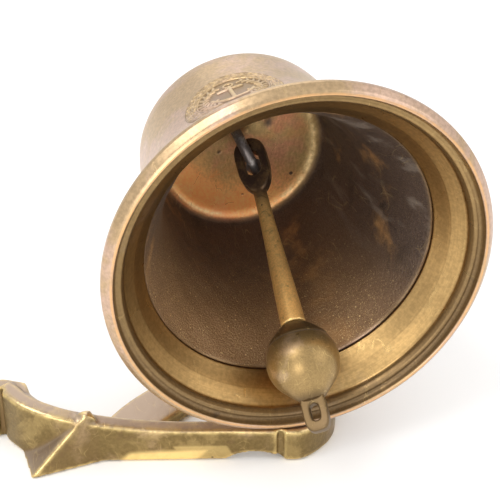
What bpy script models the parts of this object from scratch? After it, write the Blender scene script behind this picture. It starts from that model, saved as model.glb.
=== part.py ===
"""Cast brass ship bell with its clapper, hung by the crown from a cast wall bracket.

The bell lies as it is stored: its axis is level, its mouth faces -Y, and the
bracket's wall side rests on the plane z = 0.  In use that plane is the wall and
-Y points down.  The origin is on the wall side, under the middle of the
bracket's round foot.  Lengths are in metres, and mm() turns millimetres into them.
"""
import math

import bmesh
import bpy
from mathutils import Matrix, Vector


def mm(value):
    """Millimetres to metres."""
    return value * 0.001


# ---- driving dimensions, in millimetres -------------------------------------------
MOUTH_RADIUS = 100.0          # widest circle of the lip
AXIS_HEIGHT = 121.0           # bell axis above the wall plane
MOUTH_Y = -180.0              # plane of the foremost rim edge
PIVOT_DEPTH = 174.0           # swing pin, measured from the rim plane along the axis
PIVOT_Y = MOUTH_Y + PIVOT_DEPTH
GAP = 0.3                     # clearance between pieces that touch

CROWN_OUTSIDE = 148.5         # crown's outer face, from the rim plane
CROWN_INSIDE = 137.0
BELL_STEPS = 60

STAPLE_WIRE = 2.5             # wire radius of the crown staple
STAPLE_HALF = 15.5            # half of the distance between its legs
STAPLE_BOW = 114.0            # middle of the bow, from the rim plane
STAPLE_TWIST = 24.0           # turn of the staple about the bell axis, in degrees
STAPLE_SHIFT = 2.5            # how far the staple is cast off the axis, to +X

BALL_RADIUS = 19.4
BALL_DROP = 121.4             # bow to ball centre
CLAPPER_REST = 30.5           # lean of the clapper from the bell axis, in degrees
CLAPPER_SIDE = 0.4            # its slight lean to +X
CLAPPER_TURN = -22.0          # turn about its own axis, in line with the staple
EYE_THICKNESS = 8.0

TONGUE_THICKNESS = 12.0
CHEEK_THICKNESS = 7.0
CHEEK_SLACK = 0.5             # gap between the tongue and each cheek
PIN_RADIUS = 4.0
SHANK_THICKNESS = 8.0
SHANK_WIDTH = 28.0
FOOT_RADIUS = 27.0
FOOT_THICKNESS = 6.0
RAIL_THICKNESS = 10.0
WALL_HOLE = 2.6               # radius of the wall-screw holes

BRASS_OUTSIDE = (0.47, 0.33, 0.19, 1.0)
BRASS_CLAPPER = (0.42, 0.31, 0.15, 1.0)
BRASS_BRACKET = (0.50, 0.35, 0.14, 1.0)
STEEL_DARK = (0.10, 0.09, 0.085, 1.0)


# ---- scene helpers ----------------------------------------------------------------
def clear_scene():
    """Start from an empty file."""
    for obj in list(bpy.data.objects):
        bpy.data.objects.remove(obj, do_unlink=True)


def make_collection(name):
    """A new collection under the scene."""
    collection = bpy.data.collections.new(name)
    bpy.context.scene.collection.children.link(collection)
    return collection


def metal(name, colour, roughness):
    """A plain metal."""
    material = bpy.data.materials.new(name)
    material.use_nodes = True
    shader = material.node_tree.nodes["Principled BSDF"]
    shader.inputs["Base Color"].default_value = colour
    shader.inputs["Metallic"].default_value = 1.0
    shader.inputs["Roughness"].default_value = roughness
    return material


def add_mesh(name, mesh, collection, material=None, parent=None, smooth=True):
    """Link a mesh as an object."""
    obj = bpy.data.objects.new(name, mesh)
    collection.objects.link(obj)
    if material:
        mesh.materials.append(material)
    if parent:
        obj.parent = parent
    if smooth:
        mesh.shade_smooth()
        mesh.set_sharp_from_angle(angle=math.radians(35))
    return obj


def add_empty(name, collection, location, parent=None):
    """An empty that stands on a joint's axis."""
    empty = bpy.data.objects.new(name, None)
    collection.objects.link(empty)
    empty.empty_display_size = mm(15)
    empty.location = location
    empty.parent = parent
    return empty


def hide_cutter(obj):
    """Show a cutter as a wire only."""
    obj.hide_render = True
    obj.display_type = "WIRE"
    return obj


def cut(obj, cutter, operation="DIFFERENCE"):
    """Cut or join with an exact Boolean."""
    modifier = obj.modifiers.new(operation.title(), "BOOLEAN")
    modifier.operation = operation
    modifier.solver = "EXACT"
    modifier.object = cutter


def mesh_from(name, bm):
    """Finish a bmesh with its faces pointing out."""
    bmesh.ops.recalc_face_normals(bm, faces=bm.faces)
    mesh = bpy.data.meshes.new(name)
    bm.to_mesh(mesh)
    bm.free()
    return mesh


def cylinder_mesh(name, radius, depth, segments=32, top_radius=None):
    """A capped cylinder or cone about Z, centred."""
    bm = bmesh.new()
    bmesh.ops.create_cone(bm, cap_ends=True, segments=segments, radius1=radius,
                          radius2=radius if top_radius is None else top_radius, depth=depth)
    return mesh_from(name, bm)


def washer_mesh(name, outer, inner, depth, segments=24):
    """A flat ring about Z, centred."""
    bm = bmesh.new()
    corners = ((inner, -1), (outer, -1), (outer, 1), (inner, 1))
    rings = []
    for step in range(segments):
        turn = 2 * math.pi * step / segments
        rings.append([bm.verts.new((r * math.cos(turn), r * math.sin(turn), side * depth / 2))
                      for r, side in corners])
    for step, ring in enumerate(rings):
        following = rings[(step + 1) % segments]
        for i in range(len(ring)):
            j = (i + 1) % len(ring)
            bm.faces.new((ring[i], ring[j], following[j], following[i]))
    return mesh_from(name, bm)


def turned(name, profile, collection, material, parent, steps):
    """Turn a profile of (radius, height) pairs, top to bottom down the outer side, about Z."""
    mesh = bpy.data.meshes.new(name)
    points = [(mm(radius), 0.0, mm(height)) for radius, height in profile]
    mesh.from_pydata(points, [(i, i + 1) for i in range(len(points) - 1)], [])
    obj = add_mesh(name, mesh, collection, material, parent, smooth=False)
    screw = obj.modifiers.new("Turn", "SCREW")
    screw.axis = "Z"
    screw.angle = 2 * math.pi
    screw.steps = steps
    screw.render_steps = steps
    screw.use_merge_vertices = True
    screw.merge_threshold = 0.00005
    screw.use_smooth_shade = True
    return obj


def smooth_through(points, per_span):
    """Points on a Catmull-Rom curve through the given ones."""
    ends = [2 * points[0] - points[1]] + list(points) + [2 * points[-1] - points[-2]]
    result = []
    for a, b, c, d in zip(ends, ends[1:], ends[2:], ends[3:]):
        for step in range(per_span):
            t = step / per_span
            result.append(0.5 * (2 * b + (c - a) * t + (2 * a - 5 * b + 4 * c - d) * t * t
                                 + (3 * b - a - 3 * c + d) * t ** 3))
    result.append(points[-1].copy())
    return result


def smooth_pairs(pairs, per_span):
    """smooth_through() for pairs of numbers."""
    return [(v.x, v.y) for v in smooth_through([Vector((a, b, 0.0)) for a, b in pairs], per_span)]


def loft(name, stations):
    """Skin rings of equally many points and close both ends."""
    bm = bmesh.new()
    rings = [[bm.verts.new(point) for point in ring] for ring in stations]
    count = len(rings[0])
    for ring, following in zip(rings, rings[1:]):
        for i in range(count):
            j = (i + 1) % count
            bm.faces.new((ring[i], ring[j], following[j], following[i]))
    bm.faces.new(rings[0])
    bm.faces.new(list(reversed(rings[-1])))
    return mesh_from(name, bm)


def rounded_section(width, height, corner, per_corner=3):
    """Outline of a rounded rectangle, as (across, up) pairs around its centre."""
    outline = []
    for quarter in range(4):
        centre_turn = math.pi / 4 + quarter * math.pi / 2
        across = math.copysign(width / 2 - corner, math.cos(centre_turn))
        up = math.copysign(height / 2 - corner, math.sin(centre_turn))
        for step in range(per_corner):
            turn = quarter * math.pi / 2 + step * (math.pi / 2) / (per_corner - 1)
            outline.append((across + corner * math.cos(turn), up + corner * math.sin(turn)))
    return outline


def plan_sweep(name, path, widths, bottoms, tops, corner):
    """Carry a rounded rectangle along a level path; each station has its own width and height."""
    stations = []
    for i, point in enumerate(path):
        ahead = path[min(i + 1, len(path) - 1)] - path[max(i - 1, 0)]
        side = Vector((ahead.y, -ahead.x, 0.0)).normalized()
        middle = (bottoms[i] + tops[i]) / 2
        outline = rounded_section(widths[i], tops[i] - bottoms[i], corner)
        stations.append([Vector((mm(point.x + side.x * a), mm(point.y + side.y * a), mm(middle + b)))
                         for a, b in outline])
    return loft(name, stations)


def flat_outline(name, points, thickness, bevel=0.0):
    """A closed flat outline in XY, with its thickness centred on z = 0, as a mesh."""
    curve = bpy.data.curves.new(name, "CURVE")
    curve.dimensions = "2D"
    curve.fill_mode = "BOTH"
    curve.extrude = thickness / 2 - bevel
    curve.bevel_depth = bevel
    curve.bevel_resolution = 1
    curve.offset = -bevel
    spline = curve.splines.new("POLY")
    spline.points.add(len(points) - 1)
    for slot, (x, y) in zip(spline.points, points):
        slot.co = (x, y, 0.0, 1.0)
    spline.use_cyclic_u = True
    return curve_to_mesh(name, curve)


def curve_to_mesh(name, curve):
    """Weld the evaluated curve into one closed mesh and drop the curve."""
    carrier = bpy.data.objects.new(name + "_curve", curve)
    bpy.context.scene.collection.objects.link(carrier)
    graph = bpy.context.evaluated_depsgraph_get()
    mesh = bpy.data.meshes.new_from_object(carrier.evaluated_get(graph))
    bpy.data.objects.remove(carrier, do_unlink=True)
    bm = bmesh.new()
    bm.from_mesh(mesh)
    bmesh.ops.remove_doubles(bm, verts=bm.verts, dist=0.00001)
    bmesh.ops.recalc_face_normals(bm, faces=bm.faces)
    bm.to_mesh(mesh)
    bm.free()
    mesh.name = name
    return mesh


def arc(cx, cy, radius, start, end, steps):
    """Points on an arc, in degrees."""
    return [(cx + radius * math.cos(math.radians(start + (end - start) * i / steps)),
             cy + radius * math.sin(math.radians(start + (end - start) * i / steps)))
            for i in range(steps + 1)]


# ---- bell -------------------------------------------------------------------------
def bell_profile():
    """Radius and height over the rim, from the crown down the outside and back up inside."""
    crown = [(0.0, CROWN_OUTSIDE), (34.0, CROWN_OUTSIDE - 0.4)]
    shoulder = smooth_pairs([(45.0, 147.0), (52.5, 143.6), (57.4, 137.6), (59.2, 129.0)], 2)
    waist = smooth_pairs([(59.2, 129.0), (60.8, 112.0), (63.2, 92.0), (67.4, 70.0), (74.2, 50.0),
                          (84.0, 31.0), (95.0, 14.5)], 2)
    lip = [(98.6, 9.6), (MOUTH_RADIUS, 6.6), (MOUTH_RADIUS, 4.2), (97.4, 1.0), (95.6, 0.0),
           (94.6, 0.3), (93.3, 5.6), (92.3, 6.6), (90.6, 6.8), (88.3, 8.4), (88.0, 9.2),
           (82.0, 15.4), (75.4, 24.0)]
    relief = [(76.0, 24.4), (75.6, 25.6)]
    inside = smooth_pairs([(75.6, 25.6), (67.4, 40.0), (60.8, 57.0), (56.0, 79.0), (53.0, 104.0),
                           (51.0, 124.0)], 2)
    floor = [(49.4, 132.0), (46.4, 136.0), (42.0, CROWN_INSIDE), (0.0, CROWN_INSIDE)]
    return crown + shoulder + waist[1:] + lip + relief + inside[1:] + floor


def on_bell_axis(obj, depth):
    """Lay an upright object on the bell axis, its zero at the given depth from the rim plane."""
    obj.rotation_euler = (-math.pi / 2, 0.0, 0.0)
    obj.location = (0.0, mm(depth - PIVOT_DEPTH), 0.0)


def staple_leg_places():
    """Centres of the two legs across the bell axis, in the bell's upright frame."""
    turn = math.radians(STAPLE_TWIST)
    return [(STAPLE_SHIFT - side * STAPLE_HALF * math.sin(turn), -side * STAPLE_HALF * math.cos(turn))
            for side in (-1, 1)]


def leg_cutters(name, radius, low, high, collection, parent):
    """One cutter for each staple leg, from low to high along the bell axis."""
    cutters = []
    for index, (x, y) in enumerate(staple_leg_places()):
        mesh = cylinder_mesh(f"{name}_{index}", mm(radius), mm(high - low), 24)
        cutter = hide_cutter(add_mesh(f"{name}_{index}", mesh, collection, parent=parent))
        on_bell_axis(cutter, (low + high) / 2)
        cutter.location.x = mm(x)
        cutter.location.z = mm(-y)
        cutters.append(cutter)
    return cutters


def make_bell(parts, cutters, pivot, brass):
    """The bell casting, drilled for the staple."""
    bell = turned("bell_shell", bell_profile(), parts, brass, pivot, BELL_STEPS)
    on_bell_axis(bell, 0.0)
    for cutter in leg_cutters("bell_leg_hole", STAPLE_WIRE + GAP, CROWN_INSIDE - 4, CROWN_OUTSIDE + 4,
                              cutters, pivot):
        cut(bell, cutter)
    return bell


PLATE_LOW = CROWN_OUTSIDE + GAP
PLATE_HIGH = PLATE_LOW + 5.0


def make_hanger_plate(parts, cutters, pivot, brass):
    """Round plate on the crown with the tongue that takes the swing pin."""
    profile = [(0.0, PLATE_HIGH), (22.0, PLATE_HIGH), (24.0, PLATE_HIGH - 1.2), (24.0, PLATE_LOW),
               (0.0, PLATE_LOW)]
    plate = turned("crown_hanger", profile, parts, brass, pivot, 48)
    on_bell_axis(plate, 0.0)
    reach = PIVOT_DEPTH - PLATE_HIGH
    outline = [(-mm(9.0), -mm(reach + 2.0))] + [(mm(9.0), -mm(reach + 2.0))]
    outline += [(mm(x), mm(y)) for x, y in arc(0.0, 0.0, 10.0, 0.0, 180.0, 14)]
    tongue = hide_cutter(add_mesh("tongue_shape", flat_outline("tongue_shape", outline,
                                                               mm(TONGUE_THICKNESS), mm(0.8)),
                                  cutters, parent=pivot))
    cut(plate, tongue, "UNION")
    bore = hide_cutter(add_mesh("tongue_bore", cylinder_mesh("tongue_bore", mm(PIN_RADIUS + 1.3), mm(30), 32),
                                cutters, parent=pivot))
    cut(plate, bore)
    for cutter in leg_cutters("plate_leg_hole", STAPLE_WIRE + GAP, PLATE_LOW - 3, PLATE_HIGH + 3,
                              cutters, pivot):
        cut(plate, cutter)
    return plate


def make_staple(parts, pivot, steel):
    """Bent wire staple: two straight legs and a half-round bow."""
    centre = STAPLE_BOW + STAPLE_HALF
    top = PLATE_HIGH + 1.6 + 5.0 + 2.2
    points = [(STAPLE_HALF, top)]
    points += [(x, centre - y) for x, y in arc(0.0, 0.0, STAPLE_HALF, 0.0, 180.0, 14)]
    points += [(-STAPLE_HALF, top)]
    curve = bpy.data.curves.new("crown_staple", "CURVE")
    curve.dimensions = "3D"
    curve.bevel_depth = mm(STAPLE_WIRE)
    curve.bevel_resolution = 3
    curve.use_fill_caps = True
    spline = curve.splines.new("POLY")
    spline.points.add(len(points) - 1)
    for slot, (across, height) in zip(spline.points, points):
        slot.co = (0.0, mm(across), mm(height), 1.0)
    mesh = curve_to_mesh("crown_staple", curve)
    mesh.transform(Matrix.Rotation(-math.radians(STAPLE_TWIST), 4, "Z"))
    staple = add_mesh("crown_staple", mesh, parts, steel, pivot)
    on_bell_axis(staple, 0.0)
    staple.location.x = mm(STAPLE_SHIFT)
    return staple


def nut_mesh(name, across_flats, bore, depth):
    """A hexagonal nut about Z, centred, with its corners taken off."""
    bm = bmesh.new()
    radius = across_flats / math.sqrt(3)
    chamfer = depth * 0.14
    levels = ((-depth / 2, 0.9), (-depth / 2 + chamfer, 1.0), (depth / 2 - chamfer, 1.0), (depth / 2, 0.9))
    sides = 24
    outer = []
    inner = []
    for height, share in levels:
        ring = []
        for step in range(sides):
            turn = 2 * math.pi * step / sides
            flat = (turn + math.pi / 6) % (math.pi / 3) - math.pi / 6
            reach = min(across_flats / 2 / math.cos(flat - math.copysign(0, flat)), radius)
            reach = min(reach, radius * share * 1.02)
            ring.append(bm.verts.new((reach * math.cos(turn), reach * math.sin(turn), height)))
        outer.append(ring)
    for height in (-depth / 2, depth / 2):
        inner.append([bm.verts.new((bore * math.cos(2 * math.pi * s / sides),
                                    bore * math.sin(2 * math.pi * s / sides), height))
                      for s in range(sides)])
    for s in range(sides):
        n = (s + 1) % sides
        for low, high in zip(outer, outer[1:]):
            bm.faces.new((low[s], low[n], high[n], high[s]))
        bm.faces.new((inner[1][s], inner[1][n], inner[0][n], inner[0][s]))
        bm.faces.new((outer[0][n], outer[0][s], inner[0][s], inner[0][n]))
        bm.faces.new((outer[-1][s], outer[-1][n], inner[1][n], inner[1][s]))
    return mesh_from(name, bm)


def make_staple_fasteners(parts, pivot, steel):
    """A washer and a nut on each staple leg, outside the crown."""
    washer_low = PLATE_HIGH + GAP
    washer_thickness = 1.0
    nut_low = washer_low + washer_thickness + GAP
    nut_thickness = 5.0
    for side, (x, y) in zip(("lower", "upper"), reversed(staple_leg_places())):
        washer = add_mesh(f"staple_washer_{side}",
                          washer_mesh("staple_washer", mm(5.6), mm(STAPLE_WIRE + GAP), mm(washer_thickness)),
                          parts, steel, pivot)
        on_bell_axis(washer, washer_low + washer_thickness / 2)
        nut = add_mesh(f"staple_nut_{side}",
                       nut_mesh("staple_nut", mm(9.0), mm(STAPLE_WIRE + GAP), mm(nut_thickness)),
                       parts, steel, pivot)
        on_bell_axis(nut, nut_low + nut_thickness / 2)
        for piece in (washer, nut):
            piece.location.x = mm(x)
            piece.location.z = mm(-y)


# ---- clapper ----------------------------------------------------------------------
def make_clapper(parts, cutters, bell_pivot, brass):
    """Clapper: an eye on a tapering shank, and a ball with its lanyard loop.

    Both are drawn with the bow at the origin and the clapper hanging along -Z, the
    eye's hole along Y, and then leaned so that the ball rests on the lower lip."""
    swing = add_empty("clapper_swing", parts, (mm(STAPLE_SHIFT), mm(STAPLE_BOW - PIVOT_DEPTH), 0.0), bell_pivot)
    swing.rotation_euler = (-math.radians(90.0 - CLAPPER_REST), math.radians(-CLAPPER_SIDE), 0.0)
    hinge = add_empty("clapper_turn", parts, (0.0, 0.0, 0.0), swing)
    hinge.rotation_euler = (0.0, 0.0, math.radians(CLAPPER_TURN))
    drop = BALL_DROP
    eye_bottom = 15.0
    outline = [(mm(x), mm(y)) for x, y in arc(0.0, 6.4, 9.2, 0.0, 180.0, 16)]
    outline += [(mm(x), mm(-y)) for x, y in ((-9.2, 3.0), (-7.4, 10.5), (-3.9, eye_bottom + 4))]
    outline += [(mm(x), mm(-y)) for x, y in ((3.9, eye_bottom + 4), (7.4, 10.5), (9.2, 3.0))]
    eye = flat_outline("clapper_stem", outline, mm(EYE_THICKNESS), mm(1.8))
    eye.transform(Matrix.Rotation(math.pi / 2, 4, "X"))
    stem = add_mesh("clapper_stem", eye, parts, brass, hinge)
    hole = [(mm(x), mm(y)) for x, y in arc(0.0, 3.0, 4.3, 0.0, 180.0, 12)]
    hole += [(mm(x), mm(y)) for x, y in arc(0.0, -3.6, 4.3, 180.0, 360.0, 12)]
    hole_mesh = flat_outline("eye_hole", hole, mm(20))
    hole_mesh.transform(Matrix.Rotation(math.pi / 2, 4, "X"))
    shank_profile = smooth_pairs([(0.0, -13.6), (3.2, -14.2), (3.7, -18.0), (4.0, -32.0), (4.8, -54.0),
                                  (6.0, -78.0), (6.8, -drop + 21.5)], 2)
    shank_profile += [(6.8, -drop + 21.0), (0.0, -drop + 21.0)]
    shank = hide_cutter(turned("shank_shape", shank_profile, cutters, None, hinge, 24))
    cut(stem, shank, "UNION")
    cut(stem, hide_cutter(add_mesh("eye_hole", hole_mesh, cutters, parent=hinge)))
    ball_profile = [(0.0, -drop + 20.7), (7.0, -drop + 20.7)]
    ball_profile += smooth_pairs([(7.4, -drop + 20.3), (11.6, -drop + 16.8), (15.3, -drop + 12.8),
                                  (15.9, -drop + 11.2)], 2)
    ball_profile += [(BALL_RADIUS * math.sin(math.radians(t)), -drop + BALL_RADIUS * math.cos(math.radians(t)))
                     for t in range(56, 137, 8)]
    ball_profile += smooth_pairs([(12.0, -drop - 15.6), (8.6, -drop - 19.0), (5.6, -drop - 22.0)], 2)
    ball_profile += [(0.0, -drop - 23.0)]
    ball = turned("clapper_ball", ball_profile, parts, brass, hinge, 40)
    loop_points = [(-6.6, -drop - 17.0), (-6.6, -drop - 35.0), (-4.8, -drop - 38.8), (4.8, -drop - 38.8),
                   (6.6, -drop - 35.0), (6.6, -drop - 17.0)]
    loop_mesh = flat_outline("loop_shape", [(mm(x), mm(z)) for x, z in reversed(loop_points)], mm(6.4), mm(1.2))
    loop_mesh.transform(Matrix.Rotation(math.pi / 2, 4, "X"))
    cut(ball, hide_cutter(add_mesh("loop_shape", loop_mesh, cutters, parent=hinge)), "UNION")
    slot_points = [(mm(x), mm(z)) for x, z in arc(0.0, -drop - 26.6, 2.4, 0.0, 180.0, 8)]
    slot_points += [(mm(x), mm(z)) for x, z in arc(0.0, -drop - 30.8, 2.4, 180.0, 360.0, 8)]
    slot_mesh = flat_outline("loop_slot", slot_points, mm(30))
    slot_mesh.transform(Matrix.Rotation(math.pi / 2, 4, "X"))
    cut(ball, hide_cutter(add_mesh("loop_slot", slot_mesh, cutters, parent=hinge)))


# ---- bracket ----------------------------------------------------------------------
def from_rim(x, depth):
    """A level point given by its depth behind the rim plane, in millimetres."""
    return Vector((x, MOUTH_Y + depth, 0.0))


def make_casting(parts, cutters, brass):
    """Wall casting: a crescent rail with a flat shank that runs back under the bell."""
    face = [(29.0, 42.0), (28.0, 27.0), (20.5, 11.5), (3.0, 0.6), (-12.0, 3.0), (-36.0, 9.5), (-62.0, 15.5),
            (-86.0, 21.0), (-108.0, 26.0), (-128.0, 32.0), (-143.5, 43.0), (-154.0, 60.0)]
    tops = [17.0, 19.0, 20.2, 20.4, 20.4, 20.4, 20.6, 22.6, 26.4, 31.0, 33.5, 34.0]
    inward = [from_rim(x, y) for x, y in face]
    path = smooth_through(inward, 6)
    heights = [h for h, _ in smooth_pairs([(t, 0.0) for t in tops], 6)]
    offset = []
    for i, point in enumerate(path):
        ahead = path[min(i + 1, len(path) - 1)] - path[max(i - 1, 0)]
        back = Vector((ahead.y, -ahead.x, 0.0)).normalized()
        offset.append(point + back * RAIL_THICKNESS / 2)
    count = len(offset)
    rail = plan_sweep("bracket_casting", offset, [RAIL_THICKNESS] * count, [0.0] * count, heights, 2.0)
    casting = add_mesh("bracket_casting", rail, parts, brass)
    shank_path = smooth_through([from_rim(x, y) for x, y in
                                 ((-93.0, 30.0), (-86.5, 41.0), (-74.0, 52.5), (-54.0, 66.0), (-31.0, 87.0),
                                  (-12.0, 116.0), (-2.0, 148.0), (0.0, 180.0))], 4)
    count = len(shank_path)
    shank = plan_sweep("shank_shape", shank_path, [SHANK_WIDTH] * count, [0.0] * count,
                       [SHANK_THICKNESS] * count, 1.6)
    cut(casting, hide_cutter(add_mesh("shank_plan", shank, cutters)), "UNION")
    disc = add_mesh("shank_end", cylinder_mesh("shank_end", mm(FOOT_RADIUS + 3), mm(SHANK_THICKNESS), 56), cutters)
    disc.location = (0.0, 0.0, mm(SHANK_THICKNESS / 2))
    cut(casting, hide_cutter(disc), "UNION")
    groove = add_mesh("groove_shape", cylinder_mesh("groove_shape", mm(2.2), mm(60), 24), cutters)
    groove.location = (mm(-10.5), mm(MOUTH_Y + 2.4), mm(10))
    cut(casting, hide_cutter(groove))
    arch = add_mesh("arch_shape", cylinder_mesh("arch_shape", mm(24), mm(40), 72), cutters)
    arch.rotation_euler = (math.pi / 2, 0.0, 0.0)
    arch.location = (mm(-23.0), mm(MOUTH_Y + 12.0), mm(-18.0))
    cut(casting, hide_cutter(arch))
    return casting


def make_palm(cutters):
    """Ogee-sided palm across the left end of the rail."""
    outline = [(-131.0, 38.0), (-131.6, 47.0), (-136.2, 55.0), (-137.4, 65.0), (-148.0, 71.0), (-160.0, 74.0),
               (-169.0, 70.0), (-166.0, 62.5), (-158.0, 59.5), (-150.5, 58.0), (-146.0, 49.0), (-140.0, 41.5)]
    points = [(mm(x), mm(MOUTH_Y + y)) for x, y in outline]
    palm = add_mesh("palm_shape", flat_outline("palm_shape", list(reversed(points)), mm(31), mm(1.6)), cutters)
    palm.location.z = mm(15.5)
    return hide_cutter(palm)


def make_wedge(cutters):
    """Sharp slanting rib on the rail's face, to the left of the shank."""
    bm = bmesh.new()
    corners = [(-110.0, 28.6, 31.0), (-112.0, 32.5, 31.0), (-104.5, 28.0, 28.0), (-142.5, 20.0, 0.2),
               (-145.0, 46.0, 0.2), (-102.5, 25.0, 0.2), (-107.0, 34.0, 30.0), (-104.0, 33.0, 0.2),
               (-138.0, 47.0, 0.2)]
    for x, y, z in corners:
        bm.verts.new((mm(x), mm(MOUTH_Y + y), mm(z)))
    bmesh.ops.convex_hull(bm, input=bm.verts)
    return hide_cutter(add_mesh("wedge_shape", mesh_from("wedge_shape", bm), cutters))


def drill(casting, cutters, name, x, y, radius, depth=60.0):
    """A plain hole square to the wall."""
    cutter = add_mesh(name, cylinder_mesh(name, mm(radius), mm(depth), 20), cutters)
    cutter.location = (mm(x), mm(y), mm(10))
    cut(casting, hide_cutter(cutter))


FOOT_SCREW_CIRCLE = 19.5
FOOT_SCREW_TURNS = (90.0, 210.0, 330.0)
FOOT_LOW = SHANK_THICKNESS + GAP


def foot_screw_places():
    """Centres of the three screws in the hanger arm's foot."""
    return [(FOOT_SCREW_CIRCLE * math.cos(math.radians(turn)), FOOT_SCREW_CIRCLE * math.sin(math.radians(turn)))
            for turn in FOOT_SCREW_TURNS]


def make_hanger_arm(parts, cutters, brass):
    """Arm that rises from the round foot to a fork round the crown's tongue."""
    foot_top = FOOT_LOW + FOOT_THICKNESS
    profile = [(0.0, foot_top + 5.0), (9.0, foot_top + 5.0), (11.5, foot_top + 2.2), (14.0, foot_top),
               (25.0, foot_top), (FOOT_RADIUS, foot_top - 1.6), (FOOT_RADIUS, FOOT_LOW), (0.0, FOOT_LOW)]
    arm = turned("hanger_arm", profile, parts, brass, None, 56)
    fork_low = AXIS_HEIGHT - TONGUE_THICKNESS / 2 - CHEEK_SLACK - CHEEK_THICKNESS
    path = smooth_through([Vector(p) for p in ((0.0, 1.0, foot_top - 2.0), (0.0, 4.0, 34.0), (0.0, 12.0, 62.0),
                                               (0.0, 17.0, 86.0), (0.0, 16.5, fork_low + 6.0))], 4)
    stations = []
    for i, point in enumerate(path):
        ahead = (path[min(i + 1, len(path) - 1)] - path[max(i - 1, 0)]).normalized()
        out = Vector((0.0, ahead.z, -ahead.y))
        share = i / (len(path) - 1)
        wide = 19.0 - 4.0 * math.sin(math.pi * share)
        deep = 15.0 - 4.0 * share
        stations.append([Vector((mm(point.x + a), mm(point.y + out.y * b), mm(point.z + out.z * b)))
                         for a, b in rounded_section(wide, deep, 4.0, 4)])
    neck = hide_cutter(add_mesh("neck_shape", loft("neck_shape", stations), cutters))
    cut(arm, neck, "UNION")
    thickness = TONGUE_THICKNESS + 2 * CHEEK_SLACK + 2 * CHEEK_THICKNESS
    outline = [(mm(x), mm(y)) for x, y in arc(0.0, PIVOT_Y, 11.0, 180.0, 360.0, 16)]
    outline += [(mm(11.0), mm(19.0)), (mm(8.0), mm(23.0)), (mm(-8.0), mm(23.0)), (mm(-11.0), mm(19.0))]
    head = add_mesh("fork_shape", flat_outline("fork_shape", outline, mm(thickness), mm(1.0)), cutters)
    head.location.z = mm(AXIS_HEIGHT)
    cut(arm, hide_cutter(head), "UNION")
    slot = bmesh.new()
    bmesh.ops.create_cube(slot, size=1.0)
    bmesh.ops.scale(slot, verts=slot.verts, vec=(mm(40), mm(30), mm(TONGUE_THICKNESS + 2 * CHEEK_SLACK)))
    gap = add_mesh("fork_slot", mesh_from("fork_slot", slot), cutters)
    gap.location = (0.0, mm(PIVOT_Y + 13.5 - 15.0), mm(AXIS_HEIGHT))
    cut(arm, hide_cutter(gap))
    bore = add_mesh("fork_bore", cylinder_mesh("fork_bore", mm(PIN_RADIUS + GAP), mm(60), 32), cutters)
    bore.location = (0.0, mm(PIVOT_Y), mm(AXIS_HEIGHT))
    cut(arm, hide_cutter(bore))
    for index, (x, y) in enumerate(foot_screw_places()):
        hole = add_mesh(f"foot_hole_{index}", cylinder_mesh("foot_hole", mm(2.4), mm(40), 20), cutters)
        hole.location = (mm(x), mm(y), mm(FOOT_LOW))
        cut(arm, hide_cutter(hole))
    return arm


def make_foot_screws(parts, casting, cutters, steel):
    """Three round-headed screws hold the foot to the shank's end."""
    top = FOOT_LOW + FOOT_THICKNESS + GAP
    for index, (x, y) in enumerate(foot_screw_places(), start=1):
        profile = [(0.0, top + 2.6), (2.2, top + 2.3), (3.8, top + 1.1), (4.2, top), (2.1, top), (2.1, 1.2),
                   (0.0, 1.2)]
        screw = turned(f"foot_screw_{index}", profile, parts, steel, None, 24)
        screw.location = (mm(x), mm(y), 0.0)
        drill(casting, cutters, f"screw_hole_{index}", x, y, 2.4)


def make_pin_set(parts, steel, brass):
    """Swing pin with its head on top, two washers, a bush in the tongue and a nut below."""
    half = TONGUE_THICKNESS / 2 + CHEEK_SLACK + CHEEK_THICKNESS
    washer = 1.2
    head_low = half + GAP + washer + GAP
    shaft_end = -(head_low + 8.5)
    profile = [(0.0, head_low + 4.6), (5.2, head_low + 4.2), (6.6, head_low + 2.6), (6.6, head_low),
               (PIN_RADIUS, head_low), (PIN_RADIUS, shaft_end + 0.8), (PIN_RADIUS - 0.8, shaft_end),
               (0.0, shaft_end)]
    pin = turned("swing_pin", profile, parts, steel, None, 32)
    pin.location = (0.0, mm(PIVOT_Y), mm(AXIS_HEIGHT))
    for name, side in (("pin_washer_upper", 1), ("pin_washer_lower", -1)):
        ring = add_mesh(name, washer_mesh(name, mm(8.4), mm(PIN_RADIUS + GAP), mm(washer)), parts, steel)
        ring.location = (0.0, mm(PIVOT_Y), mm(AXIS_HEIGHT + side * (half + GAP + washer / 2)))
    nut = add_mesh("pin_nut", nut_mesh("pin_nut", mm(13.0), mm(PIN_RADIUS + GAP), mm(6.4)), parts, steel)
    nut.location = (0.0, mm(PIVOT_Y), mm(AXIS_HEIGHT - head_low - 3.2))
    return pin


def make_bush(parts, pivot, bronze):
    """Bush pressed in the tongue."""
    mesh = washer_mesh("pin_bush", mm(PIN_RADIUS + 1.0), mm(PIN_RADIUS + GAP), mm(TONGUE_THICKNESS))
    return add_mesh("pin_bush", mesh, parts, bronze, pivot)


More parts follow.
